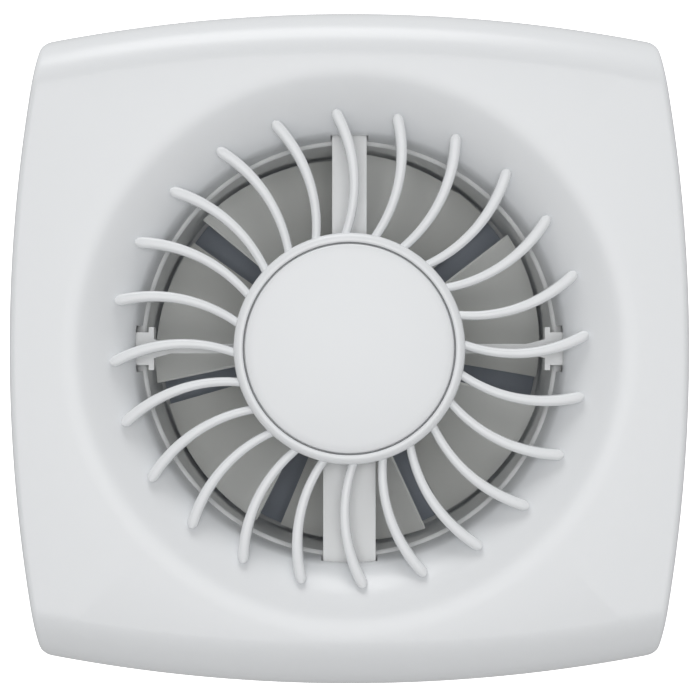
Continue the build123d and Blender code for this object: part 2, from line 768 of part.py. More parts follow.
with BuildPart() as rear_bearing_bracket:
    with BuildSketch(seen(bridge_y + bridge_wall)):
        SlotOverall(2 * ear_at_r + bridge_w, bridge_w, rotation=45)
    extrude(amount=bridge_wall)
    with BuildSketch(seen(bridge_y)):
        with Locations(polar(ear_at_r, 45), polar(ear_at_r, 225)):
            Circle(ear_r)
    extrude(amount=bridge_y - stack_back_y)
    with BuildSketch(seen(rear_bush_y)):
        Circle(bearing_boss_r)
    extrude(amount=bush_length)
    with BuildSketch(seen(rear_bush_y)):
        Circle(bush_r)
    extrude(amount=bush_length, mode=Mode.SUBTRACT)
    with BuildSketch(seen(bridge_y + bridge_wall)):
        with Locations(polar(ear_at_r, 45), polar(ear_at_r, 225)):
            Circle(motor_screw_r + motor_screw_clearance)
    extrude(amount=bridge_y + bridge_wall - stack_back_y, mode=Mode.SUBTRACT)
write(rear_bearing_bracket.part, "rear_bearing_bracket")

with BuildPart() as motor_screws:
    seat = bridge_y + bridge_wall
    with BuildSketch(seen(seat)):
        with Locations(polar(ear_at_r, 45), polar(ear_at_r, 225)):
            Circle(motor_screw_r)
    extrude(amount=seat - cup_front_y - 2.0)
    with BuildSketch(seen(seat + screw_head_height)):
        with Locations(polar(ear_at_r, 45), polar(ear_at_r, 225)):
            Circle(screw_head_r)
    extrude(amount=screw_head_height)
    with BuildSketch(seen(seat + screw_head_height)):
        with Locations(polar(ear_at_r, 45), polar(ear_at_r, 225)):
            Rectangle(2.6, 0.6)
            Rectangle(0.6, 2.6)
    extrude(amount=0.9, mode=Mode.SUBTRACT)
write(motor_screws.part, "motor_screws")

# ================================================================ rotor
shaft_front_y = bush_front_y + shaft_front_gap
with BuildPart() as motor_shaft:
    shaft_back_y = clip_y + clip_wall + shaft_tip
    with BuildSketch(seen(shaft_back_y)):
        Circle(shaft_r)
    extrude(amount=shaft_back_y - shaft_front_y)
    chamfer(motor_shaft.edges().filter_by(GeomType.CIRCLE), 0.3)
write(motor_shaft.part, "motor_shaft")

with BuildPart() as rotor_core:
    with BuildSketch(seen(stack_back_y)):
        Circle(rotor_r)
        Circle(shaft_r, mode=Mode.SUBTRACT)
    extrude(amount=stack_length)
write(rotor_core.part, "rotor_core")

with BuildPart() as rotor_end_rings:
    for back_y in (stack_front_y, stack_back_y + end_ring_length):
        with BuildSketch(seen(back_y)):
            Circle(rotor_r - 0.4)
            Circle(end_ring_bore_r, mode=Mode.SUBTRACT)
        extrude(amount=end_ring_length)
write(rotor_end_rings.part, "rotor_end_rings")

with BuildPart() as thrust_washers:
    for back_y in (stack_front_y, stack_back_y + washer_wall):
        with BuildSketch(seen(back_y)):
            Circle(washer_r)
            Circle(shaft_r, mode=Mode.SUBTRACT)
        extrude(amount=washer_wall)
write(thrust_washers.part, "thrust_washers")

# one blade: lofted between a section at the hub and one past the tip, then trimmed round
tip_r = tube_bore_r - tip_gap
blade_mid_y = blade_front_y + blade_length / 2


def blade_outline(distance: float, half_angle: float) -> tuple:
    """Upper and lower three-point arcs of a cambered blade section.

    The section stands at a distance from the duct axis; x runs with the rotation, y along the duct.
    """
    half_w = distance * tan(radians(half_angle))
    half_l = blade_length / 2
    slope = atan2(half_l, half_w)
    lift = Vector(sin(slope), cos(slope))
    thick = lift * (blade_wall / 2)
    fore = Vector(half_w, -half_l)
    aft = Vector(-half_w, half_l)
    belly = lift * blade_camber
    upper = (aft + thick, belly + thick, fore + thick * 0.5)
    lower = (fore - thick * 0.5, belly - thick, aft - thick)
    return upper, lower


hub_section_x = impeller_hub_r - 2.6
tip_section_x = tip_r + 1.5
with BuildPart() as blade:
    # each plane stands across the radius through the blade's middle
    for distance, half_angle in (
        (hub_section_x, blade_root_half_angle),
        (tip_section_x, blade_half_angle),
    ):
        across = Plane(origin=(distance, blade_mid_y, 0), x_dir=(0, 0, 1), z_dir=(-1, 0, 0))
        upper, lower = blade_outline(distance, half_angle)
        with BuildSketch(across):
            with BuildLine():
                ThreePointArc(*upper)
                Line(upper[2], lower[0])
                ThreePointArc(*lower)
                Line(lower[2], upper[0])
            make_face()
    loft()
    with BuildSketch(seen(blade_mid_y + blade_length)):
        Circle(tip_r)
        Circle(impeller_hub_r - impeller_hub_wall / 2, mode=Mode.SUBTRACT)
    extrude(amount=2 * blade_length, mode=Mode.INTERSECT)

with BuildPart() as impeller:
    with BuildSketch(seen(impeller_back_y)):
        Circle(impeller_hub_r)
    extrude(amount=impeller_back_y - impeller_hub_front_y)
    fillet(impeller.faces().sort_by(Axis.Y)[-1].edges(), impeller_edge_r)
    hub_floor_y = impeller_back_y - impeller_hub_floor
    with BuildSketch(seen(hub_floor_y)):
        Circle(impeller_hub_r - impeller_hub_wall)
    extrude(amount=hub_floor_y - impeller_hub_front_y, mode=Mode.SUBTRACT)
    with BuildSketch(seen(hub_floor_y)):
        Circle(impeller_boss_r)
    extrude(amount=impeller_boss_length)
    for index in range(blade_count):
        add(blade.part.rotate(Axis.Y, -(blade_phase + 360 / blade_count * index)))
    with BuildSketch(seen(impeller_back_y)):
        Circle(shaft_r)
    extrude(amount=impeller_boss_length + impeller_hub_floor + 1, mode=Mode.SUBTRACT)
write(impeller.part, "impeller")

with BuildPart() as impeller_clip:
    with BuildSketch(seen(clip_y + clip_wall)):
        Circle(clip_r)
        Circle(shaft_r, mode=Mode.SUBTRACT)
    extrude(amount=clip_wall)
    with BuildSketch(seen(clip_y)):
        Circle(clip_r + 0.6)
        Circle(shaft_r, mode=Mode.SUBTRACT)
    extrude(amount=washer_wall)
write(impeller_clip.part, "impeller_clip")

# ================================================================ shutter
with BuildPart() as shutter_bar:
    bar_back_y = seat_y + seat_wall
    with BuildSketch(seen(bar_back_y)):
        Rectangle(bar_w, 2 * tube_bore_r)
    extrude(amount=bar_wall)
    lug_back_y = pin_y + pin_r + 1.0
    with BuildSketch(seen(lug_back_y)):
        with Locations((0, 0), (0, bar_lug_at), (0, -bar_lug_at)):
            Rectangle(2 * (pin_r + 0.7), bar_lug_length)
    extrude(amount=lug_back_y - bar_back_y)
    # trimmed to the seat's bore
    with BuildSketch(seen(lug_back_y)):
        Circle(seat_bore_r)
    extrude(amount=lug_back_y - bar_back_y + bar_wall, mode=Mode.INTERSECT)
    with BuildSketch(Plane.XY.offset(-tube_bore_r)):
        with Locations((0, pin_y)):
            Circle(pin_r)
    extrude(amount=2 * tube_bore_r, mode=Mode.SUBTRACT)
write(shutter_bar.part, "shutter_bar")

pin_half = bar_lug_at + bar_lug_length / 2
with BuildPart() as shutter_pin:
    with BuildSketch(Plane.XY.offset(-pin_half)):
        with Locations((0, pin_y)):
            Circle(pin_r)
    extrude(amount=2 * pin_half)
write(shutter_pin.part, "shutter_pin")


def make_flap(side: int, knuckle_at: float) -> Part:
    """One half-round shutter flap: side is 1 for the right, -1 for the left."""
    with BuildPart() as flap:
        with BuildSketch(seen(flap_front_y + flap_wall)):
            Circle(flap_r)
            with Locations((side * (flap_inner_x - flap_r), 0)):
                Rectangle(2 * flap_r, 2 * flap_r, mode=Mode.SUBTRACT)
            with Locations((side * flap_inner_x / 2, knuckle_at), (side * flap_inner_x / 2, -knuckle_at)):
                Rectangle(flap_inner_x + 1, knuckle_length)
        extrude(amount=flap_wall)
        # stiffening ribs on the back
        with BuildSketch(seen(flap_front_y + flap_wall + flap_rib_height)):
            rib_start_x = 6.0
            rib_mid_x = (rib_start_x + flap_rib_x) / 2
            with Locations((side * rib_mid_x, knuckle_at), (side * rib_mid_x, -knuckle_at)):
                Rectangle(flap_rib_x - rib_start_x, flap_rib_w)
            with Locations((side * flap_rib_x, 0)):
                Rectangle(flap_rib_w, 0.92 * flap_r)
        extrude(amount=flap_rib_height)
        # knuckles round the pin
        for middle in (knuckle_at, -knuckle_at):
            with BuildSketch(Plane.XY.offset(middle - knuckle_length / 2)):
                with Locations((0, pin_y)):
                    Circle(knuckle_r)
            extrude(amount=knuckle_length)
        with BuildSketch(Plane.XY.offset(-flap_r)):
            with Locations((0, pin_y)):
                Circle(pin_r + pin_clearance)
        extrude(amount=2 * flap_r, mode=Mode.SUBTRACT)
    return flap.part


write(make_flap(1, right_knuckle_at), "shutter_flap_right")
write(make_flap(-1, left_knuckle_at), "shutter_flap_left")


spring_r = pin_r + pin_clearance + spring_bore_gap + spring_wire_r
with BuildPart() as flap_spring_right:
    coil_start = Vector(spring_r, pin_y, spring_at)
    with BuildLine():
        Helix(
            spring_pitch,
            spring_pitch * spring_turns,
            spring_r,
            center=(0, pin_y, spring_at),
            direction=(0, 0, 1),
        )
    with BuildSketch(Plane(origin=coil_start, z_dir=(0, 1, 0))):
        Circle(spring_wire_r)
    sweep(is_frenet=True)
    # leg that presses on the back of the flap
    leg_y = flap_front_y + flap_wall + spring_leg_gap + spring_wire_r
    with BuildLine() as leg_path:
        leg_bend = Vector(spring_r, leg_y, spring_at)
        leg_end = Vector(spring_r + spring_leg, leg_y, spring_at)
        FilletPolyline(coil_start, leg_bend, leg_end, radius=2 * spring_wire_r)
    with BuildSketch(Plane(origin=coil_start, z_dir=(0, -1, 0))):
        Circle(spring_wire_r)
    sweep(path=leg_path.wires()[0])
write(flap_spring_right.part, "flap_spring_right")

# the left flap's spring is the right one turned half round about the middle of the shutter
with BuildPart() as flap_spring_left:
    add(flap_spring_right.part.rotate(Axis((0, pin_y, 0), (0, 1, 0)), 180))
write(flap_spring_left.part, "flap_spring_left")

# ================================================================ wiring
block_w = pole_pitch * block_poles
block_front_y = plate_front_y - block_height
port_y = plate_front_y - block_height / 2
pole_xs = [block_x + pole_pitch * (index - 1) for index in range(block_poles)]
clamp_tube_r = wire_port_r + clamp_tube_wall
with BuildPart() as terminal_block:
    with BuildSketch(seen(plate_front_y)):
        with Locations((block_x, block_z)):
            RectangleRounded(block_w, block_length, 1.0)
    extrude(amount=block_height)
    # grooves between the poles
    with BuildSketch(seen(block_front_y + 3)):
        for left_x in pole_xs[:-1]:
            with Locations((left_x + pole_pitch / 2, block_z)):
                Rectangle(1.2, block_length + 1)
    extrude(amount=3, mode=Mode.SUBTRACT)
    # a brass tube passes through each pole
    with BuildSketch(Plane.XY.offset(block_z - block_length / 2)):
        for pole_x in pole_xs:
            with Locations((pole_x, port_y)):
                Circle(clamp_tube_r)
    extrude(amount=block_length, mode=Mode.SUBTRACT)
    # screw shafts, two for each pole
    with BuildSketch(seen(port_y)):
        for pole_x in pole_xs:
            with Locations((pole_x, block_z + 3.5), (pole_x, block_z - 3.5)):
                Circle(terminal_screw_head_r + 0.2)
    extrude(amount=block_height / 2, mode=Mode.SUBTRACT)
    # fixing hole
    with BuildSketch(seen(plate_front_y)):
        with Locations((block_x - pole_pitch / 2, block_z)):
            Circle(block_screw_r + 0.1)
    extrude(amount=block_height, mode=Mode.SUBTRACT)
write(terminal_block.part, "terminal_block")

with BuildPart() as terminal_clamps:
    with BuildSketch(Plane.XY.offset(block_z - clamp_tube_length / 2)):
        for pole_x in pole_xs:
            with Locations((pole_x, port_y)):
                Circle(clamp_tube_r)
                Circle(wire_port_r, mode=Mode.SUBTRACT)
    extrude(amount=clamp_tube_length)
    with BuildSketch(seen(port_y - wire_port_r + 0.5)):
        for pole_x in pole_xs:
            with Locations((pole_x, block_z + 3.5), (pole_x, block_z - 3.5)):
                Circle(terminal_screw_r)
    extrude(amount=clamp_tube_wall + 2, mode=Mode.SUBTRACT)
write(terminal_clamps.part, "terminal_clamps")

with BuildPart() as terminal_screws:
    with BuildSketch(seen(port_y - wire_port_r + 0.6)):
        for pole_x in pole_xs:
            with Locations((pole_x, block_z + 3.5), (pole_x, block_z - 3.5)):
                Circle(terminal_screw_r)
    extrude(amount=clamp_tube_wall + 0.8)
    with BuildSketch(seen(port_y - clamp_tube_r - 0.2)):
        for pole_x in pole_xs:
            with Locations((pole_x, block_z + 3.5), (pole_x, block_z - 3.5)):
                Circle(terminal_screw_head_r)
                Rectangle(4, 0.5, mode=Mode.SUBTRACT)
    extrude(amount=1.4)
write(terminal_screws.part, "terminal_screws")

with BuildPart() as block_screw:
    with BuildSketch(seen(-1.0)):
        with Locations((block_x - pole_pitch / 2, block_z)):
            Circle(block_screw_r)
    extrude(amount=block_height + plate_wall - 4.4)
write(block_screw.part, "block_screw")

with BuildPart() as cable_grommet:
    with BuildSketch(Plane(origin=(cable_x, 0, cable_z), x_dir=(1, 0, 0), z_dir=(0, 0, 1))):
        with BuildLine():
            Polyline(
                (cable_r, -0.1),
                (grommet_neck_r, -0.1),
                (grommet_neck_r, plate_front_y),
                (grommet_r, plate_front_y),
                (grommet_r, plate_front_y - grommet_lip),
                (cable_r + 1, plate_front_y - 2 * grommet_lip),
                (cable_r, plate_front_y - 2 * grommet_lip),
                (cable_r, -0.1),
            )
        make_face()
    revolve(axis=Axis((cable_x, 0, cable_z), (0, 1, 0)))
write(cable_grommet.part, "cable_grommet")

with BuildPart() as cable_saddle:
    with BuildSketch(seen(saddle_y)):
        with Locations((cable_x, saddle_z)):
            RectangleRounded(2 * (saddle_post_at + saddle_post_r), saddle_w, 1.5)
        with Locations(
            (cable_x - saddle_post_at, saddle_z), (cable_x + saddle_post_at, saddle_z)
        ):
            Circle(saddle_screw_r + 0.1, mode=Mode.SUBTRACT)
    extrude(amount=saddle_wall)
    # toothed pressure rib over the cable
    with BuildSketch(seen(saddle_y + 1.2)):
        with Locations((cable_x, saddle_z - 1.8), (cable_x, saddle_z + 1.8)):
            Rectangle(7, 1.0)
    extrude(amount=1.2)
write(cable_saddle.part, "cable_saddle")

with BuildPart() as saddle_screws:
    seat = saddle_y - saddle_wall
    with BuildSketch(seen(plate_front_y - 1.0)):
        with Locations(
            (cable_x - saddle_post_at, saddle_z), (cable_x + saddle_post_at, saddle_z)
        ):
            Circle(saddle_screw_r)
    extrude(amount=plate_front_y - 1.0 - seat)
    with BuildSketch(seen(seat)):
        with Locations(
            (cable_x - saddle_post_at, saddle_z), (cable_x + saddle_post_at, saddle_z)
        ):
            Circle(screw_head_r)
    extrude(amount=screw_head_height)
    with BuildSketch(seen(seat - screw_head_height + 0.9)):
        with Locations(
            (cable_x - saddle_post_at, saddle_z), (cable_x + saddle_post_at, saddle_z)
        ):
            Rectangle(2.8, 0.6)
            Rectangle(0.6, 2.8)
    extrude(amount=0.9, mode=Mode.SUBTRACT)
write(saddle_screws.part, "saddle_screws")

# motor leads: out of the cup, through the lower arm, round the outside of the tube to the terminals
port_z = block_z - clamp_tube_length / 2 + 2
lead_routes = {
    "motor_lead_live": [
        (lead_spacing / 2, lead_y, -19.0),
        (lead_spacing / 2, lead_y, -throat_outer_r - 2.2),
        (9.0, -8.2, -55.5),
        (27.0, -7.2, -57.0),
        (43.0, -7.6, -56.6),
        (pole_xs[0], port_y, -52.5),
        (pole_xs[0], port_y, port_z),
    ],
    "motor_lead_neutral": [
        (-lead_spacing / 2, lead_y, -19.0),
        (-lead_spacing / 2, lead_y, -throat_outer_r - 4.4),
        (6.0, -8.0, -59.4),
        (27.0, -7.0, -60.6),
        (47.0, -7.6, -60.2),
        (pole_xs[1], port_y, -55.0),
        (pole_xs[1], port_y, port_z),
    ],
}
for lead_name, route in lead_routes.items():
    points = [Vector(*point) for point in route]
    radii = []
    for before, corner, after in zip(points, points[1:], points[2:]):
        run_in = corner - before
        run_out = after - corner
        turn = radians(run_in.get_angle(run_out))
        radii.append(0.45 * min(run_in.length, run_out.length) / tan(turn / 2))
    print(lead_name, "bend radii", [round(radius, 1) for radius in radii])
    with BuildPart() as lead:
        with BuildLine() as lead_path:
            FilletPolyline(*points, radius=radii)
        first_run = points[1] - points[0]
        with BuildSketch(Plane(origin=points[0], z_dir=first_run)):
            Circle(lead_r)
        sweep(path=lead_path.wires()[0])
    path_length = lead_path.wires()[0].length
    print(lead_name, "length", round(path_length, 1), "volume ratio",
          round(lead.part.volume / (path_length * pi * lead_r**2), 4))
    write(lead.part, lead_name)
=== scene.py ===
import json
import logging
from dataclasses import dataclass
from enum import Enum
from math import atan2, cos, pi, radians, sin, sqrt, tan
from typing import Callable, Iterable, Sequence

import bmesh
import bpy
from mathutils import Matrix, Vector


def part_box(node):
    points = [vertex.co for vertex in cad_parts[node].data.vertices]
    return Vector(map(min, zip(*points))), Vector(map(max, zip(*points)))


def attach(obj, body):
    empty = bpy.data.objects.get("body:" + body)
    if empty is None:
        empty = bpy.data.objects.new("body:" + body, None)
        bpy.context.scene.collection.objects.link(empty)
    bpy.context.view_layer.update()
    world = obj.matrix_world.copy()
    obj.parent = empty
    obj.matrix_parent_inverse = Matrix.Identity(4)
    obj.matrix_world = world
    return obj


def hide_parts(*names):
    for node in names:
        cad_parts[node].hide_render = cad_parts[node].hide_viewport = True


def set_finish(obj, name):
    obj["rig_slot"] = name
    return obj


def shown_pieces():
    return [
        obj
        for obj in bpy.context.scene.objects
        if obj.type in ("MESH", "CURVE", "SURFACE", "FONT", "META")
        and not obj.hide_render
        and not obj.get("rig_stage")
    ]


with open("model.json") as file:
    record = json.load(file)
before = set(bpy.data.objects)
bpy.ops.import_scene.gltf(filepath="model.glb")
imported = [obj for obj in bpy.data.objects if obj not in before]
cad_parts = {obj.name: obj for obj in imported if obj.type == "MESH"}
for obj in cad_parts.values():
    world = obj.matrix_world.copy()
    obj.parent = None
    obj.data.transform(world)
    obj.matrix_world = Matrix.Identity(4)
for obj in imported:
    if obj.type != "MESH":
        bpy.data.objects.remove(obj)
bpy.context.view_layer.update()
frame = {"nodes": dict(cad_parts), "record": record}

LOG = logging.getLogger("extract_fan")
MM = 0.001
RING_STEPS = 256
SHARP_ANGLE = radians(32)
CORNER_ROUNDS = 30     # enough for the corner's centre to settle

Profile = Sequence[tuple[float, float]]
Section = Sequence[tuple[float, float, float]]
Notch = tuple[float, float, float, float]
DepthRule = Callable[[float, float], float]


# ---------------------------------------------------------------- shader helpers
def linear(hex_colour: str) -> tuple[float, float, float, float]:
    """Turn an sRGB hex colour into a linear one.

    Args:
        hex_colour: Six hex digits, without a leading mark.

    Returns:
        Linear red, green, blue and an alpha of one.
    """
    channels = []
    for start in (0, 2, 4):
        value = int(hex_colour[start:start + 2], 16) / 255
        channels.append(value / 12.92 if value <= 0.04045 else ((value + 0.055) / 1.055) ** 2.4)
    return (*channels, 1.0)


def add_node(tree: bpy.types.NodeTree, kind: str, **values: object) -> bpy.types.Node:
    """Add one shader node and set its inputs.

    Args:
        tree: Node tree that gets the node.
        kind: Blender's class name of the node.
        **values: Input values; spaces in a socket's name are written as underscores.

    Returns:
        The new node.
    """
    node = tree.nodes.new(kind)
    for name, value in values.items():
        node.inputs[name.replace("_", " ")].default_value = value
    return node


class Pattern(Enum):
    """Fine relief that a surface carries."""

    MOULDED = "moulded"
    BRUSHED = "brushed"
    LAMINATED = "laminated"
    CAST = "cast"
    WOUND = "wound"


@dataclass(frozen=True)
class Finish:
    """A procedural surface finish.

    Args:
        name: Real material and surface.
        colour: sRGB hex colour.
        roughness: Microfacet roughness.
        metallic: One for bare metal, zero otherwise.
        pattern: Kind of fine relief.
        grain_mm: Real size of the relief's features.
        depth_mm: Real depth of the relief.
    """

    name: str
    colour: str
    roughness: float
    metallic: float = 0.0
    pattern: Pattern = Pattern.MOULDED
    grain_mm: float = 0.5
    depth_mm: float = 0.01

    def build(self) -> bpy.types.Material:
        """Create the material.

        Returns:
            The finished material.
        """
        material = bpy.data.materials.new(self.name)
        material.use_nodes = True
        tree = material.node_tree
        shader = tree.nodes["Principled BSDF"]
        shader.inputs["Base Color"].default_value = linear(self.colour)
        shader.inputs["Roughness"].default_value = self.roughness
        shader.inputs["Metallic"].default_value = self.metallic
        coords = add_node(tree, "ShaderNodeTexCoord")
        source = self._relief(tree, coords.outputs["Object"])
        bump = add_node(tree, "ShaderNodeBump", Strength=1.0, Distance=self.depth_mm * MM)
        tree.links.new(source, bump.inputs["Height"])
        tree.links.new(bump.outputs["Normal"], shader.inputs["Normal"])
        return material

    def _relief(self, tree: bpy.types.NodeTree, coords: bpy.types.NodeSocket) -> bpy.types.NodeSocket:
        """Build the height pattern.

        Args:
            tree: Node tree of the material.
            coords: Object coordinates in metres.

        Returns:
            Socket that gives the height.
        """
        density = 1 / (self.grain_mm * MM)
        if self.pattern in (Pattern.LAMINATED, Pattern.WOUND):
            wave = add_node(tree, "ShaderNodeTexWave", Scale=density / 20, Distortion=0.3)
            wave.bands_direction = "Y" if self.pattern is Pattern.LAMINATED else "DIAGONAL"
            tree.links.new(coords, wave.inputs["Vector"])
            return wave.outputs["Fac"]
        stretch = (1.0, 0.06, 1.0) if self.pattern is Pattern.BRUSHED else (1.0, 1.0, 1.0)
        mapping = add_node(tree, "ShaderNodeMapping", Scale=stretch)
        detail = 5.0 if self.pattern is Pattern.CAST else 2.0
        noise = add_node(tree, "ShaderNodeTexNoise", Scale=density, Detail=detail)
        tree.links.new(coords, mapping.inputs["Vector"])
        tree.links.new(mapping.outputs["Vector"], noise.inputs["Vector"])
        return noise.outputs["Fac"]


# One finish for each material slot of the record.
FINISHES: dict[str, Finish] = {
    # glossy injection-moulded ABS with the faint waviness of a thin moulding
    "cover_plastic": Finish(
        "White ABS, moulded gloss", "E9EBED", 0.27, grain_mm=5.0, depth_mm=0.002),
    # the same polymer from a spark-eroded mould
    "housing_plastic": Finish("White ABS, satin", "F0F1F1", 0.45, grain_mm=0.4, depth_mm=0.006),
    # unpolished fan moulding
    "impeller_plastic": Finish(
        "Light grey ABS, satin", "ECEDEA", 0.5, grain_mm=0.4, depth_mm=0.006),
    # thin flaps
    "flap_plastic": Finish("Slate grey ABS, satin", "A9B1BE", 0.5, grain_mm=0.4, depth_mm=0.006),
    # stack of 0.5 mm stampings
    "core_steel": Finish(
        "Electrical steel, stamped stack", "8E8F92", 0.42, 1.0, Pattern.LAMINATED, 0.5, 0.03),
    "cage_aluminium": Finish("Aluminium, die cast", "D0D2D4", 0.4, 1.0, Pattern.CAST, 0.8, 0.01),
    "cast_bracket": Finish("Zinc alloy, die cast", "BFC1C3", 0.45, 1.0, Pattern.CAST, 1.0, 0.012),
    # 0.2 mm enamelled wire
    "copper_wire": Finish("Enamelled copper winding", "B8653A", 0.3, 1.0, Pattern.WOUND, 0.2, 0.05),
    "copper_ring": Finish("Bare copper, formed", "D58A60", 0.32, 1.0, Pattern.BRUSHED, 0.3, 0.004),
    "bobbin_plastic": Finish("Natural nylon, moulded", "D6CFB4", 0.5, grain_mm=0.5, depth_mm=0.006),
    "sintered_bronze": Finish(
        "Sintered bronze, porous", "B08A52", 0.55, 1.0, Pattern.CAST, 0.2, 0.01),
    "zinc_steel": Finish("Steel, bright zinc plate", "C4C6C9", 0.28, 1.0, Pattern.CAST, 0.5, 0.002),
    "ground_steel": Finish("Steel, ground", "BDBFC1", 0.22, 1.0, Pattern.BRUSHED, 0.15, 0.002),
    "spring_steel": Finish(
        "Spring steel wire, drawn", "A8A9AB", 0.3, 1.0, Pattern.BRUSHED, 0.1, 0.002),
    "washer_plastic": Finish("Acetal, turned", "DAD6C4", 0.4, grain_mm=0.3, depth_mm=0.003),
    "terminal_plastic": Finish(
        "Natural polyamide, moulded", "E3DECB", 0.45, grain_mm=0.5, depth_mm=0.006),
    "terminal_brass": Finish("Brass, drawn", "C9A55B", 0.3, 1.0, Pattern.BRUSHED, 0.2, 0.003),
    "grommet_rubber": Finish("Black rubber, moulded", "2A2A2B", 0.7, grain_mm=0.6, depth_mm=0.01),
    "lead_brown": Finish("Brown PVC insulation", "5A3A26", 0.4, grain_mm=0.5, depth_mm=0.004),
    "lead_blue": Finish("Blue PVC insulation", "2C5A9C", 0.4, grain_mm=0.5, depth_mm=0.004),
}


# ---------------------------------------------------------------- mesh helpers
def polar(radius: float, angle: float) -> tuple[float, float]:
    """Give a point in the front view.

    Args:
        radius: Distance from the duct axis.
        angle: Degrees from +X towards +Z.

    Returns:
        The x and z of the point.
    """
    return radius * cos(radians(angle)), radius * sin(radians(angle))


def arc_profile(centre: tuple[float, float], radius: float, start: float, end: float,
                steps: int) -> list[tuple[float, float]]:
    """Sample a circular arc of a section.

    Args:
        centre: Radius and depth of the arc's centre.
        radius: Radius of the arc.
        start: First angle in degrees.
        end: Last angle in degrees.
        steps: Number of pieces.

    Returns:
        Points from the start to the end.
    """
    points = []
    for step in range(steps + 1):
        angle = radians(start + (end - start) * step / steps)
        points.append((centre[0] + radius * cos(angle), centre[1] + radius * sin(angle)))
    return points


def loft(bm: bmesh.types.BMesh, sections: Sequence[Section], closed: bool = False) -> None:
    """Skin a run of equal-sized closed loops by extruding edge rings.

    Args:
        bm: Mesh that gets the faces.
        sections: Loops of points in millimetres.
        closed: Join the last loop to the first instead of capping both ends.
    """
    first = [bm.verts.new(Vector(point) * MM) for point in sections[0]]
    count = len(first)
    ring = [bm.edges.new((first[i], first[(i + 1) % count])) for i in range(count)]
    start_ring = ring
    verts = first
    for section in sections[1:]:
        made = bmesh.ops.extrude_edge_only(bm, edges=ring)["geom"]
        new_verts = {v for v in made if isinstance(v, bmesh.types.BMVert)}
        new_edges = {e for e in made if isinstance(e, bmesh.types.BMEdge)}
        following = []
        for vert in verts:
            partner = next(e.other_vert(vert) for e in vert.link_edges if e.other_vert(vert) in new_verts)
            following.append(partner)
        ring = [e for e in new_edges if e.verts[0] in new_verts and e.verts[1] in new_verts]
        for vert, point in zip(following, section):
            vert.co = Vector(point) * MM
        verts = following
    if closed:
        bmesh.ops.bridge_loops(bm, edges=start_ring + ring)
    else:
        bmesh.ops.contextual_create(bm, geom=start_ring)
        bmesh.ops.contextual_create(bm, geom=ring)


def revolve(bm: bmesh.types.BMesh, profile: Profile, steps: int = RING_STEPS) -> None:
    """Spin a closed section round the duct axis.

    Args:
        bm: Mesh that gets the faces.
        profile: Radius and depth of each corner, in millimetres.
        steps: Number of steps in a full turn.
    """
    verts = [bm.verts.new((radius * MM, depth * MM, 0)) for radius, depth in profile]
    edges = [bm.edges.new((verts[i], verts[(i + 1) % len(verts)])) for i in range(len(verts))]
    on_axis = [e for e in edges if all(abs(v.co.x) < 1e-9 for v in e.verts)]
    if on_axis:
        bmesh.ops.delete(bm, geom=on_axis, context="EDGES")
        edges = [e for e in edges if e.is_valid]
    bmesh.ops.spin(bm, geom=verts + edges, cent=(0, 0, 0), axis=(0, 1, 0), angle=2 * pi,
                   steps=steps, use_merge=True)


def prism(bm: bmesh.types.BMesh, outline: Profile, front: float, back: float) -> None:
    """Extrude an outline of the front view along the duct axis.

    Args:
        bm: Mesh that gets the faces.
        outline: The x and z of each corner, in millimetres.
        front: Depth of the front face.
        back: Depth of the back face.
    """
    verts = [bm.verts.new((x * MM, back * MM, z * MM)) for x, z in outline]
    face = bm.faces.new(verts)
    made = bmesh.ops.extrude_face_region(bm, geom=[face], use_keep_orig=True)["geom"]
    moved = [v for v in made if isinstance(v, bmesh.types.BMVert)]
    bmesh.ops.translate(bm, verts=moved, vec=(0, (front - back) * MM, 0))


def box_outline(x_low: float, x_high: float, z_low: float, z_high: float) -> list[tuple[float, float]]:
    """Give the corners of an upright rectangle.

    Args:
        x_low: Left side.
        x_high: Right side.
        z_low: Lower side.
        z_high: Upper side.

    Returns:
        Four corners.
    """
    return [(x_low, z_low), (x_high, z_low), (x_high, z_high), (x_low, z_high)]


def make_piece(name: str, body: str, slot: str, builder: Callable[[bmesh.types.BMesh], None],
               *nodes: str) -> bpy.types.Object:
    """Build one piece and hand it to the frame.

    Args:
        name: Name of the object.
        body: Body that it rides on.
        slot: Material slot of the record.
        builder: Function that fills the mesh.
        *nodes: CAD nodes that the piece stands for.

    Returns:
        The new object.
    """
    bm = bmesh.new()
    builder(bm)
    bmesh.ops.remove_doubles(bm, verts=bm.verts[:], dist=1e-7)
    bmesh.ops.recalc_face_normals(bm, faces=bm.faces[:])
    mesh = bpy.data.meshes.new(name)
    bm.to_mesh(mesh)
    bm.free()
    mesh.shade_smooth()
    mesh.set_sharp_from_angle(angle=SHARP_ANGLE)
    piece = bpy.data.objects.new(name, mesh)
    bpy.context.scene.collection.objects.link(piece)
    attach(piece, body)
    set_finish(piece, slot)
    if nodes:
        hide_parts(*nodes)
    LOG.info("built %s on %s, for %s", name, body, ", ".join(nodes))
    return piece


# ---------------------------------------------------------------- sizes
def extent(node: str) -> tuple[Vector, Vector]:
    """Give a CAD node's box in millimetres.

    Args:
        node: Name of the node.

    Returns:
        Lowest and highest corner.
    """
    low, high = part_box(node)
    return low / MM, high / MM


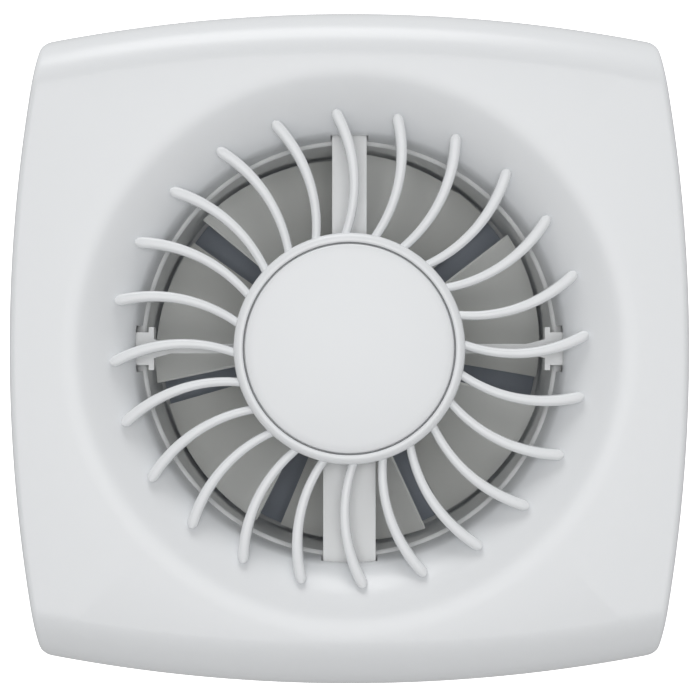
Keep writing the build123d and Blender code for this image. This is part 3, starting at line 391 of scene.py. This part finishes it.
@dataclass(frozen=True)
class BellMouth:
    """Section of the inlet, from the flat front down to the end of the collar."""

    front_y: float
    arc_r: float = 20.0
    width: float = 16.2
    lip_r: float = 50.1
    end_r: float = 48.9
    end_depth: float = 16.2
    wall: float = 2.0
    collar_wall: float = 1.6

    @property
    def rim_r(self) -> float:
        """Radius where the bell mouth leaves the flat front."""
        return self.lip_r + self.width

    @property
    def end_y(self) -> float:
        """Depth of the back end of the collar."""
        return self.front_y + self.end_depth

    def depth(self, radius: float, arc_r: float | None = None) -> float:
        """Give the surface's depth at a radius.

        Args:
            radius: Distance from the duct axis.
            arc_r: Section radius, when not that of the visible side.

        Returns:
            Depth along the duct axis.
        """
        section = arc_r or self.arc_r
        return self.front_y + self.arc_r - sqrt(section**2 - (self.rim_r - radius) ** 2)


@dataclass(frozen=True)
class Outline:
    """Square with four bowed sides and rounded corners, as a radius for each direction."""

    half_w: float
    half_h: float
    corner_r: float
    bow_r: float = 370.0

    def _corner(self) -> tuple[float, float]:
        """Find the centre of the rounding in the first quarter.

        Returns:
            The x and z of the centre.
        """
        reach = self.bow_r - self.corner_r
        x = self.half_w - self.corner_r
        z = self.half_h - self.corner_r
        for _ in range(CORNER_ROUNDS):
            x = self.half_w - self.bow_r + sqrt(reach**2 - z**2)
            z = self.half_h - self.bow_r + sqrt(reach**2 - x**2)
        return x, z

    def radius(self, angle: float) -> float:
        """Give the distance to the outline.

        Args:
            angle: Direction in radians.

        Returns:
            Distance from the duct axis.
        """
        ux, uz = abs(cos(angle)), abs(sin(angle))
        cx, cz = self._corner()
        side_x, side_z = self.half_w - self.bow_r, self.half_h - self.bow_r
        reach = self.bow_r - self.corner_r
        tangent_side = atan2(cz + self.corner_r * cz / reach,
                             cx + self.corner_r * (cx - side_x) / reach)
        tangent_top = atan2(cz + self.corner_r * (cz - side_z) / reach,
                            cx + self.corner_r * cx / reach)
        direction = atan2(uz, ux)
        if direction <= tangent_side:
            along = side_x * ux
            return along + sqrt(along**2 - side_x**2 + self.bow_r**2)
        if direction >= tangent_top:
            along = side_z * uz
            return along + sqrt(along**2 - side_z**2 + self.bow_r**2)
        along = cx * ux + cz * uz
        return along + sqrt(along**2 - cx**2 - cz**2 + self.corner_r**2)


# ---------------------------------------------------------------- sub-assemblies
@dataclass
class Cover:
    """Clip-on front cover with its bell mouth and collar."""

    mouth: BellMouth
    notches: Sequence[Notch]
    wall: float = 2.0
    draft: float = 1.2                 # degrees
    roll_r: float = 11.0
    edge_r: float = 1.2
    corner_r: float = 4.0
    inner_corner_r: float = 3.0
    least_corner_r: float = 0.4
    inner_roll_share: float = 0.82     # how far the inner face follows the rolled edges
    inner_set_back: float = 4.0        # inner face to the open back edge, at least
    wall_inset: float = 0.02           # where the side walls leave the front
    wall_pull: float = 0.99            # depth of the wall's start is read just inside it
    notch_front_y: float = -19.8
    notch_spare: float = 1.0
    steps: int = 480
    crowding: float = 0.75             # how much closer the columns are at the corners
    mouth_steps: int = 24
    inner_steps: int = 8
    front_insets: tuple[float, ...] = (
        10.9, 9.8, 8.6, 7.4, 6.2, 5.0, 4.0, 3.1, 2.3, 1.6, 1.2, 0.85, 0.55, 0.3, 0.12, 0.02)
    inner_insets: tuple[float, ...] = (2.0, 3.0, 4.5, 6.5, 8.5, 10.9)
    post_r: float = 2.5
    post_x: float = 65.0
    post_z: float = 59.0
    post_tip_y: float = -4.0

    def _angles(self) -> list[float]:
        """Directions of the mesh's columns, closer together at the corners."""
        turns = [2 * pi * i / self.steps for i in range(self.steps)]
        return [turn + self.crowding * sin(4 * turn) / 4 for turn in turns]

    def _ring(self, outline: Outline, depth: DepthRule) -> Section:
        """Make one loop of the mesh.

        Args:
            outline: Outline that the loop follows.
            depth: Depth for an x and a z.

        Returns:
            Points of the loop.
        """
        points = []
        for angle in self._angles():
            radius = outline.radius(angle)
            x, z = radius * cos(angle), radius * sin(angle)
            points.append((x, depth(x, z), z))
        return points

    def _circle(self, radius: float, depth: float) -> Section:
        """One round loop of the mesh."""
        return [(radius * cos(a), depth, radius * sin(a)) for a in self._angles()]

    def build(self) -> None:
        """Build the cover."""
        low, high = extent("front_cover")
        front, back = low.y, high.y
        lean = tan(radians(self.draft))
        half_w = high.x - lean * (back - front)
        half_h = high.z - lean * (back - front)
        bow_r = Outline(half_w, half_h, self.corner_r).bow_r

        def roll_drop(x: float, z: float) -> float:
            """Give the drop of the rolled top and bottom edges at an x and a z."""
            away = half_h - (sqrt(x**2 + (abs(z) - half_h + bow_r) ** 2) - bow_r + half_h)
            near = min(max(away, 0.0), self.roll_r)
            return self.roll_r - sqrt(self.roll_r**2 - (self.roll_r - near) ** 2)

        def surface(inset: float) -> DepthRule:
            """Give the rule for the outer face's depth along a loop inset from the edge."""
            near = min(inset, self.edge_r)
            edge = self.edge_r - sqrt(self.edge_r**2 - (self.edge_r - near) ** 2)

            def depth(x: float, z: float) -> float:
                """Give the outer face's depth at an x and a z."""
                roll = roll_drop(x, z)
                return front + roll + edge * (1 - roll / self.roll_r)

            return depth

        def inner(x: float, z: float) -> float:
            """Give the inner face's depth at an x and a z."""
            follow = front + self.wall + roll_drop(x, z) * self.inner_roll_share
            return min(follow, back - self.inner_set_back)

        mouth = self.mouth
        sections: list[Section] = []
        for step in range(self.mouth_steps + 1):
            radius = mouth.rim_r - mouth.width * step / self.mouth_steps
            sections.append(self._circle(radius, mouth.depth(radius)))
        sections.reverse()
        for inset in self.front_insets:
            corner_r = max(self.corner_r - inset, self.least_corner_r)
            sections.append(self._ring(Outline(half_w - inset, half_h - inset, corner_r), surface(inset)))
        edge_depth = surface(self.wall_inset)
        for share in (0.5, 1.0):
            grow = lean * (back - front) * share
            outline = Outline(half_w + grow, half_h + grow, self.corner_r)

            def wall_depth(x: float, z: float, part: float = share) -> float:
                """Give the side wall's depth at an x and a z, part of the way back."""
                start = edge_depth(x * self.wall_pull, z * self.wall_pull)
                return start + (back - start) * part

            sections.append(self._ring(outline, wall_depth))
        inside = Outline(high.x - self.wall, high.z - self.wall, self.inner_corner_r)
        sections.append(self._ring(inside, lambda x, z: back))
        for inset in self.inner_insets:
            corner_r = max(self.corner_r - inset, self.least_corner_r)
            sections.append(self._ring(Outline(half_w - inset, half_h - inset, corner_r), inner))
        collar_outer = mouth.lip_r + mouth.collar_wall
        for step in range(self.inner_steps + 1):
            radius = mouth.rim_r - (mouth.rim_r - collar_outer) * step / self.inner_steps
            sections.append(self._circle(radius, mouth.depth(radius, mouth.arc_r - mouth.wall)))
        sections.append(self._circle(mouth.end_r + mouth.collar_wall, mouth.end_y))
        sections.append(self._circle(mouth.end_r, mouth.end_y))

        def fill(bm: bmesh.types.BMesh) -> None:
            """Fill the mesh with the shell and its posts."""
            loft(bm, sections, closed=True)
            self._posts(bm, front + self.wall / 2)

        piece = make_piece("cover_shell", "cover", "cover_plastic", fill, "front_cover")
        self._cut_notches(piece)

    def _posts(self, bm: bmesh.types.BMesh, start: float) -> None:
        """Add the four posts that hold the cover.

        Args:
            bm: Mesh of the cover.
            start: Depth where a post starts, inside the front wall.
        """
        length = self.post_tip_y - start
        for side_x in (-1, 1):
            for side_z in (-1, 1):
                middle = Vector((side_x * self.post_x, start + length / 2, side_z * self.post_z))
                place = Matrix.Translation(middle * MM) @ Matrix.Rotation(pi / 2, 4, "X")
                bmesh.ops.create_cone(bm, cap_ends=True, segments=32, radius1=self.post_r * MM,
                                      radius2=self.post_r * MM, depth=length * MM, matrix=place)

    def _cut_notches(self, piece: bpy.types.Object) -> None:
        """Cut the openings for the bracket's arms out of the collar.

        Args:
            piece: The cover.
        """
        bm = bmesh.new()
        for x_low, x_high, z_low, z_high in self.notches:
            outline = box_outline(x_low, x_high, z_low, z_high)
            prism(bm, outline, self.notch_front_y, self.mouth.end_y + self.notch_spare)
        bmesh.ops.recalc_face_normals(bm, faces=bm.faces[:])
        mesh = bpy.data.meshes.new("notches")
        bm.to_mesh(mesh)
        bm.free()
        cutter = bpy.data.objects.new("notches", mesh)
        bpy.context.scene.collection.objects.link(cutter)
        modifier = piece.modifiers.new("notches", "BOOLEAN")
        modifier.operation = "DIFFERENCE"
        modifier.object = cutter
        bpy.context.view_layer.update()
        graph = bpy.context.evaluated_depsgraph_get()
        cut = bpy.data.meshes.new_from_object(piece.evaluated_get(graph))
        piece.modifiers.clear()
        piece.data = cut
        cut.set_sharp_from_angle(angle=SHARP_ANGLE)
        bpy.data.objects.remove(cutter)


@dataclass
class Grille:
    """Curved guide vanes, their hub ring and the centre cap."""

    mouth: BellMouth
    count: int = 24
    phase: float = 17.5
    root_w: float = 1.9
    tip_w: float = 2.6
    start_r: float = 25.9
    mid_r: float = 39.0
    end_r: float = 54.9
    mid_turn: float = -4.1
    end_turn: float = 1.1
    crest_root: float = 2.1
    crest_mid: float = 1.3
    crest_r: float = 0.8
    crest_lead: float = 2.0            # the crest's curve starts this far inside the vane
    crest_mid_r: float = 41.0
    crest_sink: float = 0.15           # crest below the bell mouth at the vane's end
    crest_angles: tuple[int, ...] = (0, 22, 45, 68, 90)
    rounding_of_half: float = 0.95     # crest rounding, at most, of half the thickness
    rounding_of_height: float = 0.45   # and of the height
    depth: float = 9.0
    least_height: float = 0.2
    lip_margin: float = 0.4
    foot_sink: float = 0.8             # foot below the surface of the bell mouth
    tip_stations: float = 1.6          # stations over which the end narrows
    tip_least: float = 0.45
    stations: int = 40
    hub_ring_w: float = 2.2
    hub_skirt_w: float = 2.0
    hub_inner_round: float = 0.4
    hub_outer_round: float = 1.4
    hub_floor_front: float = 3.2
    hub_floor_back: float = 4.8
    cap_dome: float = 0.8
    cap_steps: int = 12
    cap_round: float = 0.5
    cap_round_depth: float = 1.25
    cap_round_start: float = 275.0     # degrees
    cap_depth: float = 4.0
    cap_skirt_w: float = 1.6
    cap_floor: float = 2.4

    def _centreline(self) -> list[tuple[Vector, Vector]]:
        """Follow the arc of a vane in the front view.

        Returns:
            A point and its outward direction for each station.
        """
        a = Vector(polar(self.start_r, self.phase))
        b = Vector(polar(self.mid_r, self.phase + self.mid_turn))
        c = Vector(polar(self.end_r, self.phase + self.end_turn))
        twice = 2 * (a.x * (b.y - c.y) + b.x * (c.y - a.y) + c.x * (a.y - b.y))
        x = (a.length_squared * (b.y - c.y) + b.length_squared * (c.y - a.y)
             + c.length_squared * (a.y - b.y)) / twice
        z = (a.length_squared * (c.x - b.x) + b.length_squared * (a.x - c.x)
             + c.length_squared * (b.x - a.x)) / twice
        centre = Vector((x, z))
        radius = (a - centre).length
        first = atan2(a.y - z, a.x - x)
        sweep = atan2(c.y - z, c.x - x) - first
        sweep = (sweep + pi) % (2 * pi) - pi
        line = []
        for step in range(self.stations + 1):
            angle = first + sweep * step / self.stations
            outward = Vector((cos(angle), sin(angle)))
            line.append((centre + outward * radius, outward))
        return line

    def _crest(self, radius: float) -> float:
        """Give the depth of the crest, by a parabola through three points.

        Args:
            radius: Distance from the duct axis.

        Returns:
            Depth along the duct axis.
        """
        front = self.mouth.front_y
        r0, r1, r2 = self.start_r - self.crest_lead, self.crest_mid_r, self.end_r + self.tip_w
        y0, y1 = front + self.crest_root, front + self.crest_mid
        y2 = self.mouth.depth(r2) - self.crest_sink
        return (y0 * (radius - r1) * (radius - r2) / ((r0 - r1) * (r0 - r2))
                + y1 * (radius - r0) * (radius - r2) / ((r1 - r0) * (r1 - r2))
                + y2 * (radius - r0) * (radius - r1) / ((r2 - r0) * (r2 - r1)))

    def _vane(self) -> list[Section]:
        """Make the loops of one vane.

        Returns:
            Loops from the hub to the bell mouth.
        """
        sections = []
        line = self._centreline()
        for step, (point, outward) in enumerate(line):
            share = step / self.stations
            half = (self.root_w + (self.tip_w - self.root_w) * share) / 2
            rest = (1 - share) * self.stations / self.tip_stations
            if rest < 1:
                half *= max(sqrt(1 - (1 - rest) ** 2), self.tip_least)
            radius = point.length
            crest = self._crest(radius)
            back = self.mouth.front_y + self.depth
            if radius > self.mouth.lip_r - self.lip_margin:
                back = min(back, self.mouth.depth(max(radius, self.mouth.lip_r)) + self.foot_sink)
            crest = min(crest, back - self.least_height)
            rounding = min(self.crest_r, half * self.rounding_of_half,
                           (back - crest) * self.rounding_of_height)
            loop = [(-half, back)]
            loop += [(-half + rounding * (1 - cos(radians(t))), crest + rounding * (1 - sin(radians(t))))
                     for t in self.crest_angles]
            loop += [(half - rounding * (1 - cos(radians(t))), crest + rounding * (1 - sin(radians(t))))
                     for t in reversed(self.crest_angles)]
            loop.append((half, back))
            sections.append([(point.x + outward.x * across, depth, point.y + outward.y * across)
                             for across, depth in loop])
        return sections

    def build(self) -> None:
        """Build vanes, hub ring and cap."""
        sections = self._vane()

        def vanes(bm: bmesh.types.BMesh) -> None:
            """Fill the mesh with every vane."""
            for index in range(self.count):
                turn = Matrix.Rotation(-2 * pi * index / self.count, 3, "Y")
                loft(bm, [[tuple(turn @ Vector(p)) for p in loop] for loop in sections])

        make_piece("vane_set", "cover", "cover_plastic", vanes, "guide_vanes")
        self._hub()
        self._cap()

    def _hub(self) -> None:
        """Build the hub ring with its recessed floor."""
        low, high = extent("grille_hub")
        outer, front, back = high.x, low.y, high.y
        floor_front, floor_back = front + self.hub_floor_front, front + self.hub_floor_back
        recess, skirt = outer - self.hub_ring_w, outer - self.hub_skirt_w
        small, large = self.hub_inner_round, self.hub_outer_round
        profile = [(0.0, floor_front), (recess, floor_front), (recess, front + small)]
        profile += arc_profile((recess + small, front + small), small, 180, 270, 4)
        profile += arc_profile((outer - large, front + large), large, 270, 360, 8)
        profile += [(outer, back), (skirt, back), (skirt, floor_back), (0.0, floor_back)]
        make_piece("hub_ring", "cover", "cover_plastic", lambda bm: revolve(bm, profile), "grille_hub")

    def _cap(self) -> None:
        """Build the domed cap."""
        low, high = extent("centre_cap")
        radius, apex = high.x, low.y
        steps, skirt = self.cap_steps, radius - self.cap_skirt_w
        profile = [(radius * i / steps, apex + self.cap_dome * (i / steps) ** 2) for i in range(steps)]
        profile += arc_profile((radius - self.cap_round, apex + self.cap_round_depth), self.cap_round,
                               self.cap_round_start, 360, 6)
        profile += [(radius, apex + self.cap_depth), (skirt, apex + self.cap_depth),
                    (skirt, apex + self.cap_floor), (0.0, apex + self.cap_floor)]
        make_piece("cap_disc", "cover", "cover_plastic", lambda bm: revolve(bm, profile), "centre_cap")


@dataclass
class Housing:
    """Duct tube; the plate and the motor bracket keep their CAD shape."""

    bore_r: float = 48.0
    # rounded front of the bore: out from the bore, and back from the front
    lip: tuple[tuple[float, float], ...] = ((0.0, 0.5), (0.4, 0.1), (0.9, 0.0))
    throat_wall: float = 2.2
    flange_front: float = -4.5
    flange_back: float = -2.5
    root_wall: float = 0.9             # thinner through the plate
    root_end: float = 1.5
    spigot_wall: float = 1.5
    end_wall: float = 1.0
    end_length: float = 1.0            # chamfer at the back end
    outlet_step: float = 0.3
    seat_front: float = 26.5
    seat_back: float = 28.0
    seat_step: float = 0.8

    def build(self) -> None:
        """Build the tube."""
        low, high = extent("duct_tube")
        front, back, flange = low.y, high.y, high.x
        bore = self.bore_r
        throat, root = bore + self.throat_wall, bore + self.root_wall
        spigot, outlet, seat = bore + self.spigot_wall, bore + self.outlet_step, bore - self.seat_step
        profile = [(bore + out, front + deep) for out, deep in self.lip]
        profile += [(throat, front), (throat, self.flange_front), (flange, self.flange_front),
                    (flange, self.flange_back), (root, self.flange_back), (root, self.root_end),
                    (spigot, self.root_end), (spigot, back - self.end_length),
                    (bore + self.end_wall, back), (outlet, back), (outlet, self.seat_back),
                    (seat, self.seat_back), (seat, self.seat_front),
                    (bore, self.seat_front - self.seat_step)]
        make_piece("tube_wall", "housing", "housing_plastic", lambda bm: revolve(bm, profile), "duct_tube")


@dataclass
class Impeller:
    """Seven-blade impeller."""

    blades: int = 7
    phase: float = 65.2
    root_half: float = 18.7
    tip_half: float = 20.5
    length: float = 20.0
    wall: float = 1.4
    camber: float = 1.3
    thinning: float = 0.5              # how much thinner the trailing edge is
    root_in: float = 2.6               # the blade's plan starts inside the hub
    tip_out: float = 1.5               # and ends outside the tip circle
    hub_r: float = 26.2
    hub_wall: float = 1.4
    hub_round: float = 2.5
    hub_steps: int = 128
    web_wall: float = 1.6
    boss_r: float = 5.0
    boss_length: float = 8.1
    bore_r: float = 1.5
    blade_sink: float = 0.7            # blade root inside the hub's wall
    chord_steps: int = 12
    stations: int = 10

    def _section(self, radius: float, tip_r: float) -> Section:
        """Make the loop round one blade, for a blade that stands at angle zero.

        Args:
            radius: Distance from the duct axis.
            tip_r: Radius of the tip circle.

        Returns:
            Points of the loop.
        """
        share = (radius - self.hub_r + self.root_in) / (tip_r + self.tip_out - self.hub_r + self.root_in)
        root = (self.hub_r - self.root_in) * tan(radians(self.root_half))
        tip = (tip_r + self.tip_out) * tan(radians(self.tip_half))
        half_w = root + (tip - root) * share
        half_l = self.length / 2
        slope = atan2(half_l, half_w)
        loop = []
        for side in (1, -1):
            count = self.chord_steps
            steps = range(count + 1) if side == 1 else range(count, -1, -1)
            for step in steps:
                t = step / count
                thin = self.wall / 2 * (1 - self.thinning * t**3)
                bow = self.camber * 4 * t * (1 - t)
                across = -half_w + 2 * half_w * t + sin(slope) * (bow + side * thin)
                along = half_l - 2 * half_l * t + cos(slope) * (bow + side * thin)
                along = min(max(along, -half_l), half_l)
                loop.append((sqrt(radius**2 - across**2), along + half_l, across))
        return loop

    def _fill(self, bm: bmesh.types.BMesh) -> None:
        """Fill the mesh with the hub, its boss and the blades.

        Args:
            bm: Mesh of the impeller.
        """
        low, high = extent("impeller")
        tip_r = -low.x
        front, back = low.y, high.y
        outer = self.hub_r
        boss_front, web_front = back - self.boss_length, back - self.web_wall
        inside = outer - self.hub_wall
        profile = [(self.bore_r, boss_front), (self.boss_r, boss_front), (self.boss_r, web_front),
                   (inside, web_front), (inside, front), (outer, front)]
        profile += arc_profile((outer - self.hub_round, back - self.hub_round), self.hub_round, 0, 90, 8)
        profile.append((self.bore_r, back))
        revolve(bm, profile, self.hub_steps)
        sections = []
        for step in range(self.stations + 1):
            sink = self.blade_sink
            radius = outer - sink + (tip_r - outer + sink) * step / self.stations
            sections.append(self._section(radius, tip_r))
        for index in range(self.blades):
            turn = Matrix.Rotation(-radians(self.phase + 360 / self.blades * index), 3, "Y")
            loft(bm, [[tuple(turn @ Vector(p)) for p in loop] for loop in sections])

    def build(self) -> None:
        """Build the impeller."""
        make_piece("fan_wheel", "rotor", "impeller_plastic", self._fill, "impeller")


@dataclass
class InnerParts:
    """Parts that keep their CAD shape and get a procedural finish."""

    materials: dict[str, bpy.types.Material]

    def dress(self, nodes: dict[str, bpy.types.Object], slots: dict[str, str]) -> None:
        """Give every CAD node its finish.

        Args:
            nodes: CAD nodes by name.
            slots: Material slot of each node.
        """
        for name, node in nodes.items():
            node.data.materials.clear()
            node.data.materials.append(self.materials[slots[name]])
            for polygon in node.data.polygons:
                polygon.material_index = 0


@dataclass
class Studio:
    """Camera, floor, backdrop and soft lights."""

    camera_distance: float = 0.58
    lens: float = 123.7
    world_low: float = 0.22
    world_high: float = 0.55
    floor_half: float = 1.3
    floor_z: float = -0.45
    backdrop_half: float = 0.45
    backdrop_y: float = 2.0
    backdrop_glow: float = 1.2

    def _plane(self, name: str, corners: Iterable[tuple[float, float, float]],
               colour: str, glow: float) -> None:
        """Add one plane that isn't part of the fan.

        Args:
            name: Name of the plane and its material.
            corners: Corners in order, in metres.
            colour: sRGB hex colour.
            glow: Strength of its own light.
        """
        mesh = bpy.data.meshes.new(name)
        bm = bmesh.new()
        bm.faces.new([bm.verts.new(corner) for corner in corners])
        bm.to_mesh(mesh)
        bm.free()
        plane = bpy.data.objects.new(name, mesh)
        bpy.context.scene.collection.objects.link(plane)
        material = bpy.data.materials.new(name)
        material.use_nodes = True
        shader = material.node_tree.nodes["Principled BSDF"]
        shader.inputs["Base Color"].default_value = linear(colour)
        shader.inputs["Roughness"].default_value = 0.8
        shader.inputs["Emission Color"].default_value = linear("FFFFFF")
        shader.inputs["Emission Strength"].default_value = glow
        mesh.materials.append(material)
        plane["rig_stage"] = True

    def _light(self, name: str, place: tuple[float, float, float], size: float, power: float) -> None:
        """Add one square area light that faces the fan.

        Args:
            name: Name of the light.
            place: Where it stands, in metres.
            size: Length of its side, in metres.
            power: Power in watts.
        """
        data = bpy.data.lights.new(name, "AREA")
        data.shape = "SQUARE"
        data.size = size
        data.energy = power
        light = bpy.data.objects.new(name, data)
        light.location = place
        light.rotation_euler = (-Vector(place)).to_track_quat("-Z", "Y").to_euler()
        bpy.context.scene.collection.objects.link(light)
        light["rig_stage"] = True

    def build(self) -> None:
        """Build the studio."""
        scene = bpy.context.scene
        scene.view_settings.view_transform = "Standard"
        world = bpy.data.worlds.new("Studio")
        world.use_nodes = True
        tree = world.node_tree
        background = tree.nodes["Background"]
        background.inputs["Color"].default_value = (1, 1, 1, 1)
        coords = add_node(tree, "ShaderNodeTexCoord")
        split = add_node(tree, "ShaderNodeSeparateXYZ")
        height = add_node(tree, "ShaderNodeMapRange", From_Min=-0.7, From_Max=0.9,
                          To_Min=self.world_low, To_Max=self.world_high)
        tree.links.new(coords.outputs["Generated"], split.inputs["Vector"])
        tree.links.new(split.outputs["Z"], height.inputs["Value"])
        tree.links.new(height.outputs["Result"], background.inputs["Strength"])
        scene.world = world
        square = ((-1, -1), (1, -1), (1, 1), (-1, 1))
        wide, tall = self.floor_half, self.backdrop_half
        self._plane("Floor", [(a * wide, b * wide, self.floor_z) for a, b in square], "DCDCDC", 0.0)
        self._plane("Backdrop", [(a * tall, self.backdrop_y, b * tall) for a, b in square],
                    "FFFFFF", self.backdrop_glow)
        self._light("Key light", (-0.1, -0.42, 1.1), size=0.6, power=4.2)
        self._light("Front light", (0.0, -1.6, 0.05), size=0.75, power=6.6)
        camera_data = bpy.data.cameras.new("Camera")
        camera_data.lens = self.lens
        camera_data.sensor_width = 36
        camera = bpy.data.objects.new("Camera", camera_data)
        camera.location = (0.00014, -self.camera_distance, -0.00032)
        camera.rotation_euler = (radians(90), 0, 0)
        scene.collection.objects.link(camera)
        scene.camera = camera


@dataclass
class ExtractFan:
    """The whole fan."""

    mouth: BellMouth
    slots: dict[str, str]
    notch_inner: float = 47.0
    notch_outer: float = 53.6
    notch_top_half: float = 4.4
    notch_bottom_half: float = 6.5
    notch_side_half: float = 5.4

    def _notches(self) -> list[Notch]:
        """Give the openings in the collar for the bracket's arms.

        Returns:
            Lowest and highest x, then lowest and highest z, of each opening.
        """
        inner, outer = self.notch_inner, self.notch_outer
        top, bottom, side = self.notch_top_half, self.notch_bottom_half, self.notch_side_half
        return [(-top, top, inner, outer), (-bottom, bottom, -outer, -inner),
                (inner, outer, -side, side), (-outer, -inner, -side, side)]

    def build(self) -> None:
        """Build every sub-assembly and dress it."""
        materials = {slot: finish.build() for slot, finish in FINISHES.items()}
        InnerParts(materials).dress(frame["nodes"], self.slots)
        Cover(self.mouth, self._notches()).build()
        Grille(self.mouth).build()
        Housing().build()
        Impeller().build()
        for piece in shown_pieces():
            slot = piece.get("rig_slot")
            if slot in materials and not piece.data.materials:
                piece.data.materials.append(materials[slot])


def main() -> None:
    """Build the fan and its studio."""
    logging.basicConfig(level=logging.INFO)
    slots = {part["node"]: part["material_slot"] for part in frame["record"]["subparts"]}
    ExtractFan(BellMouth(extent("front_cover")[0].y), slots).build()
    Studio().build()


if __name__ == "__main__":
    main()
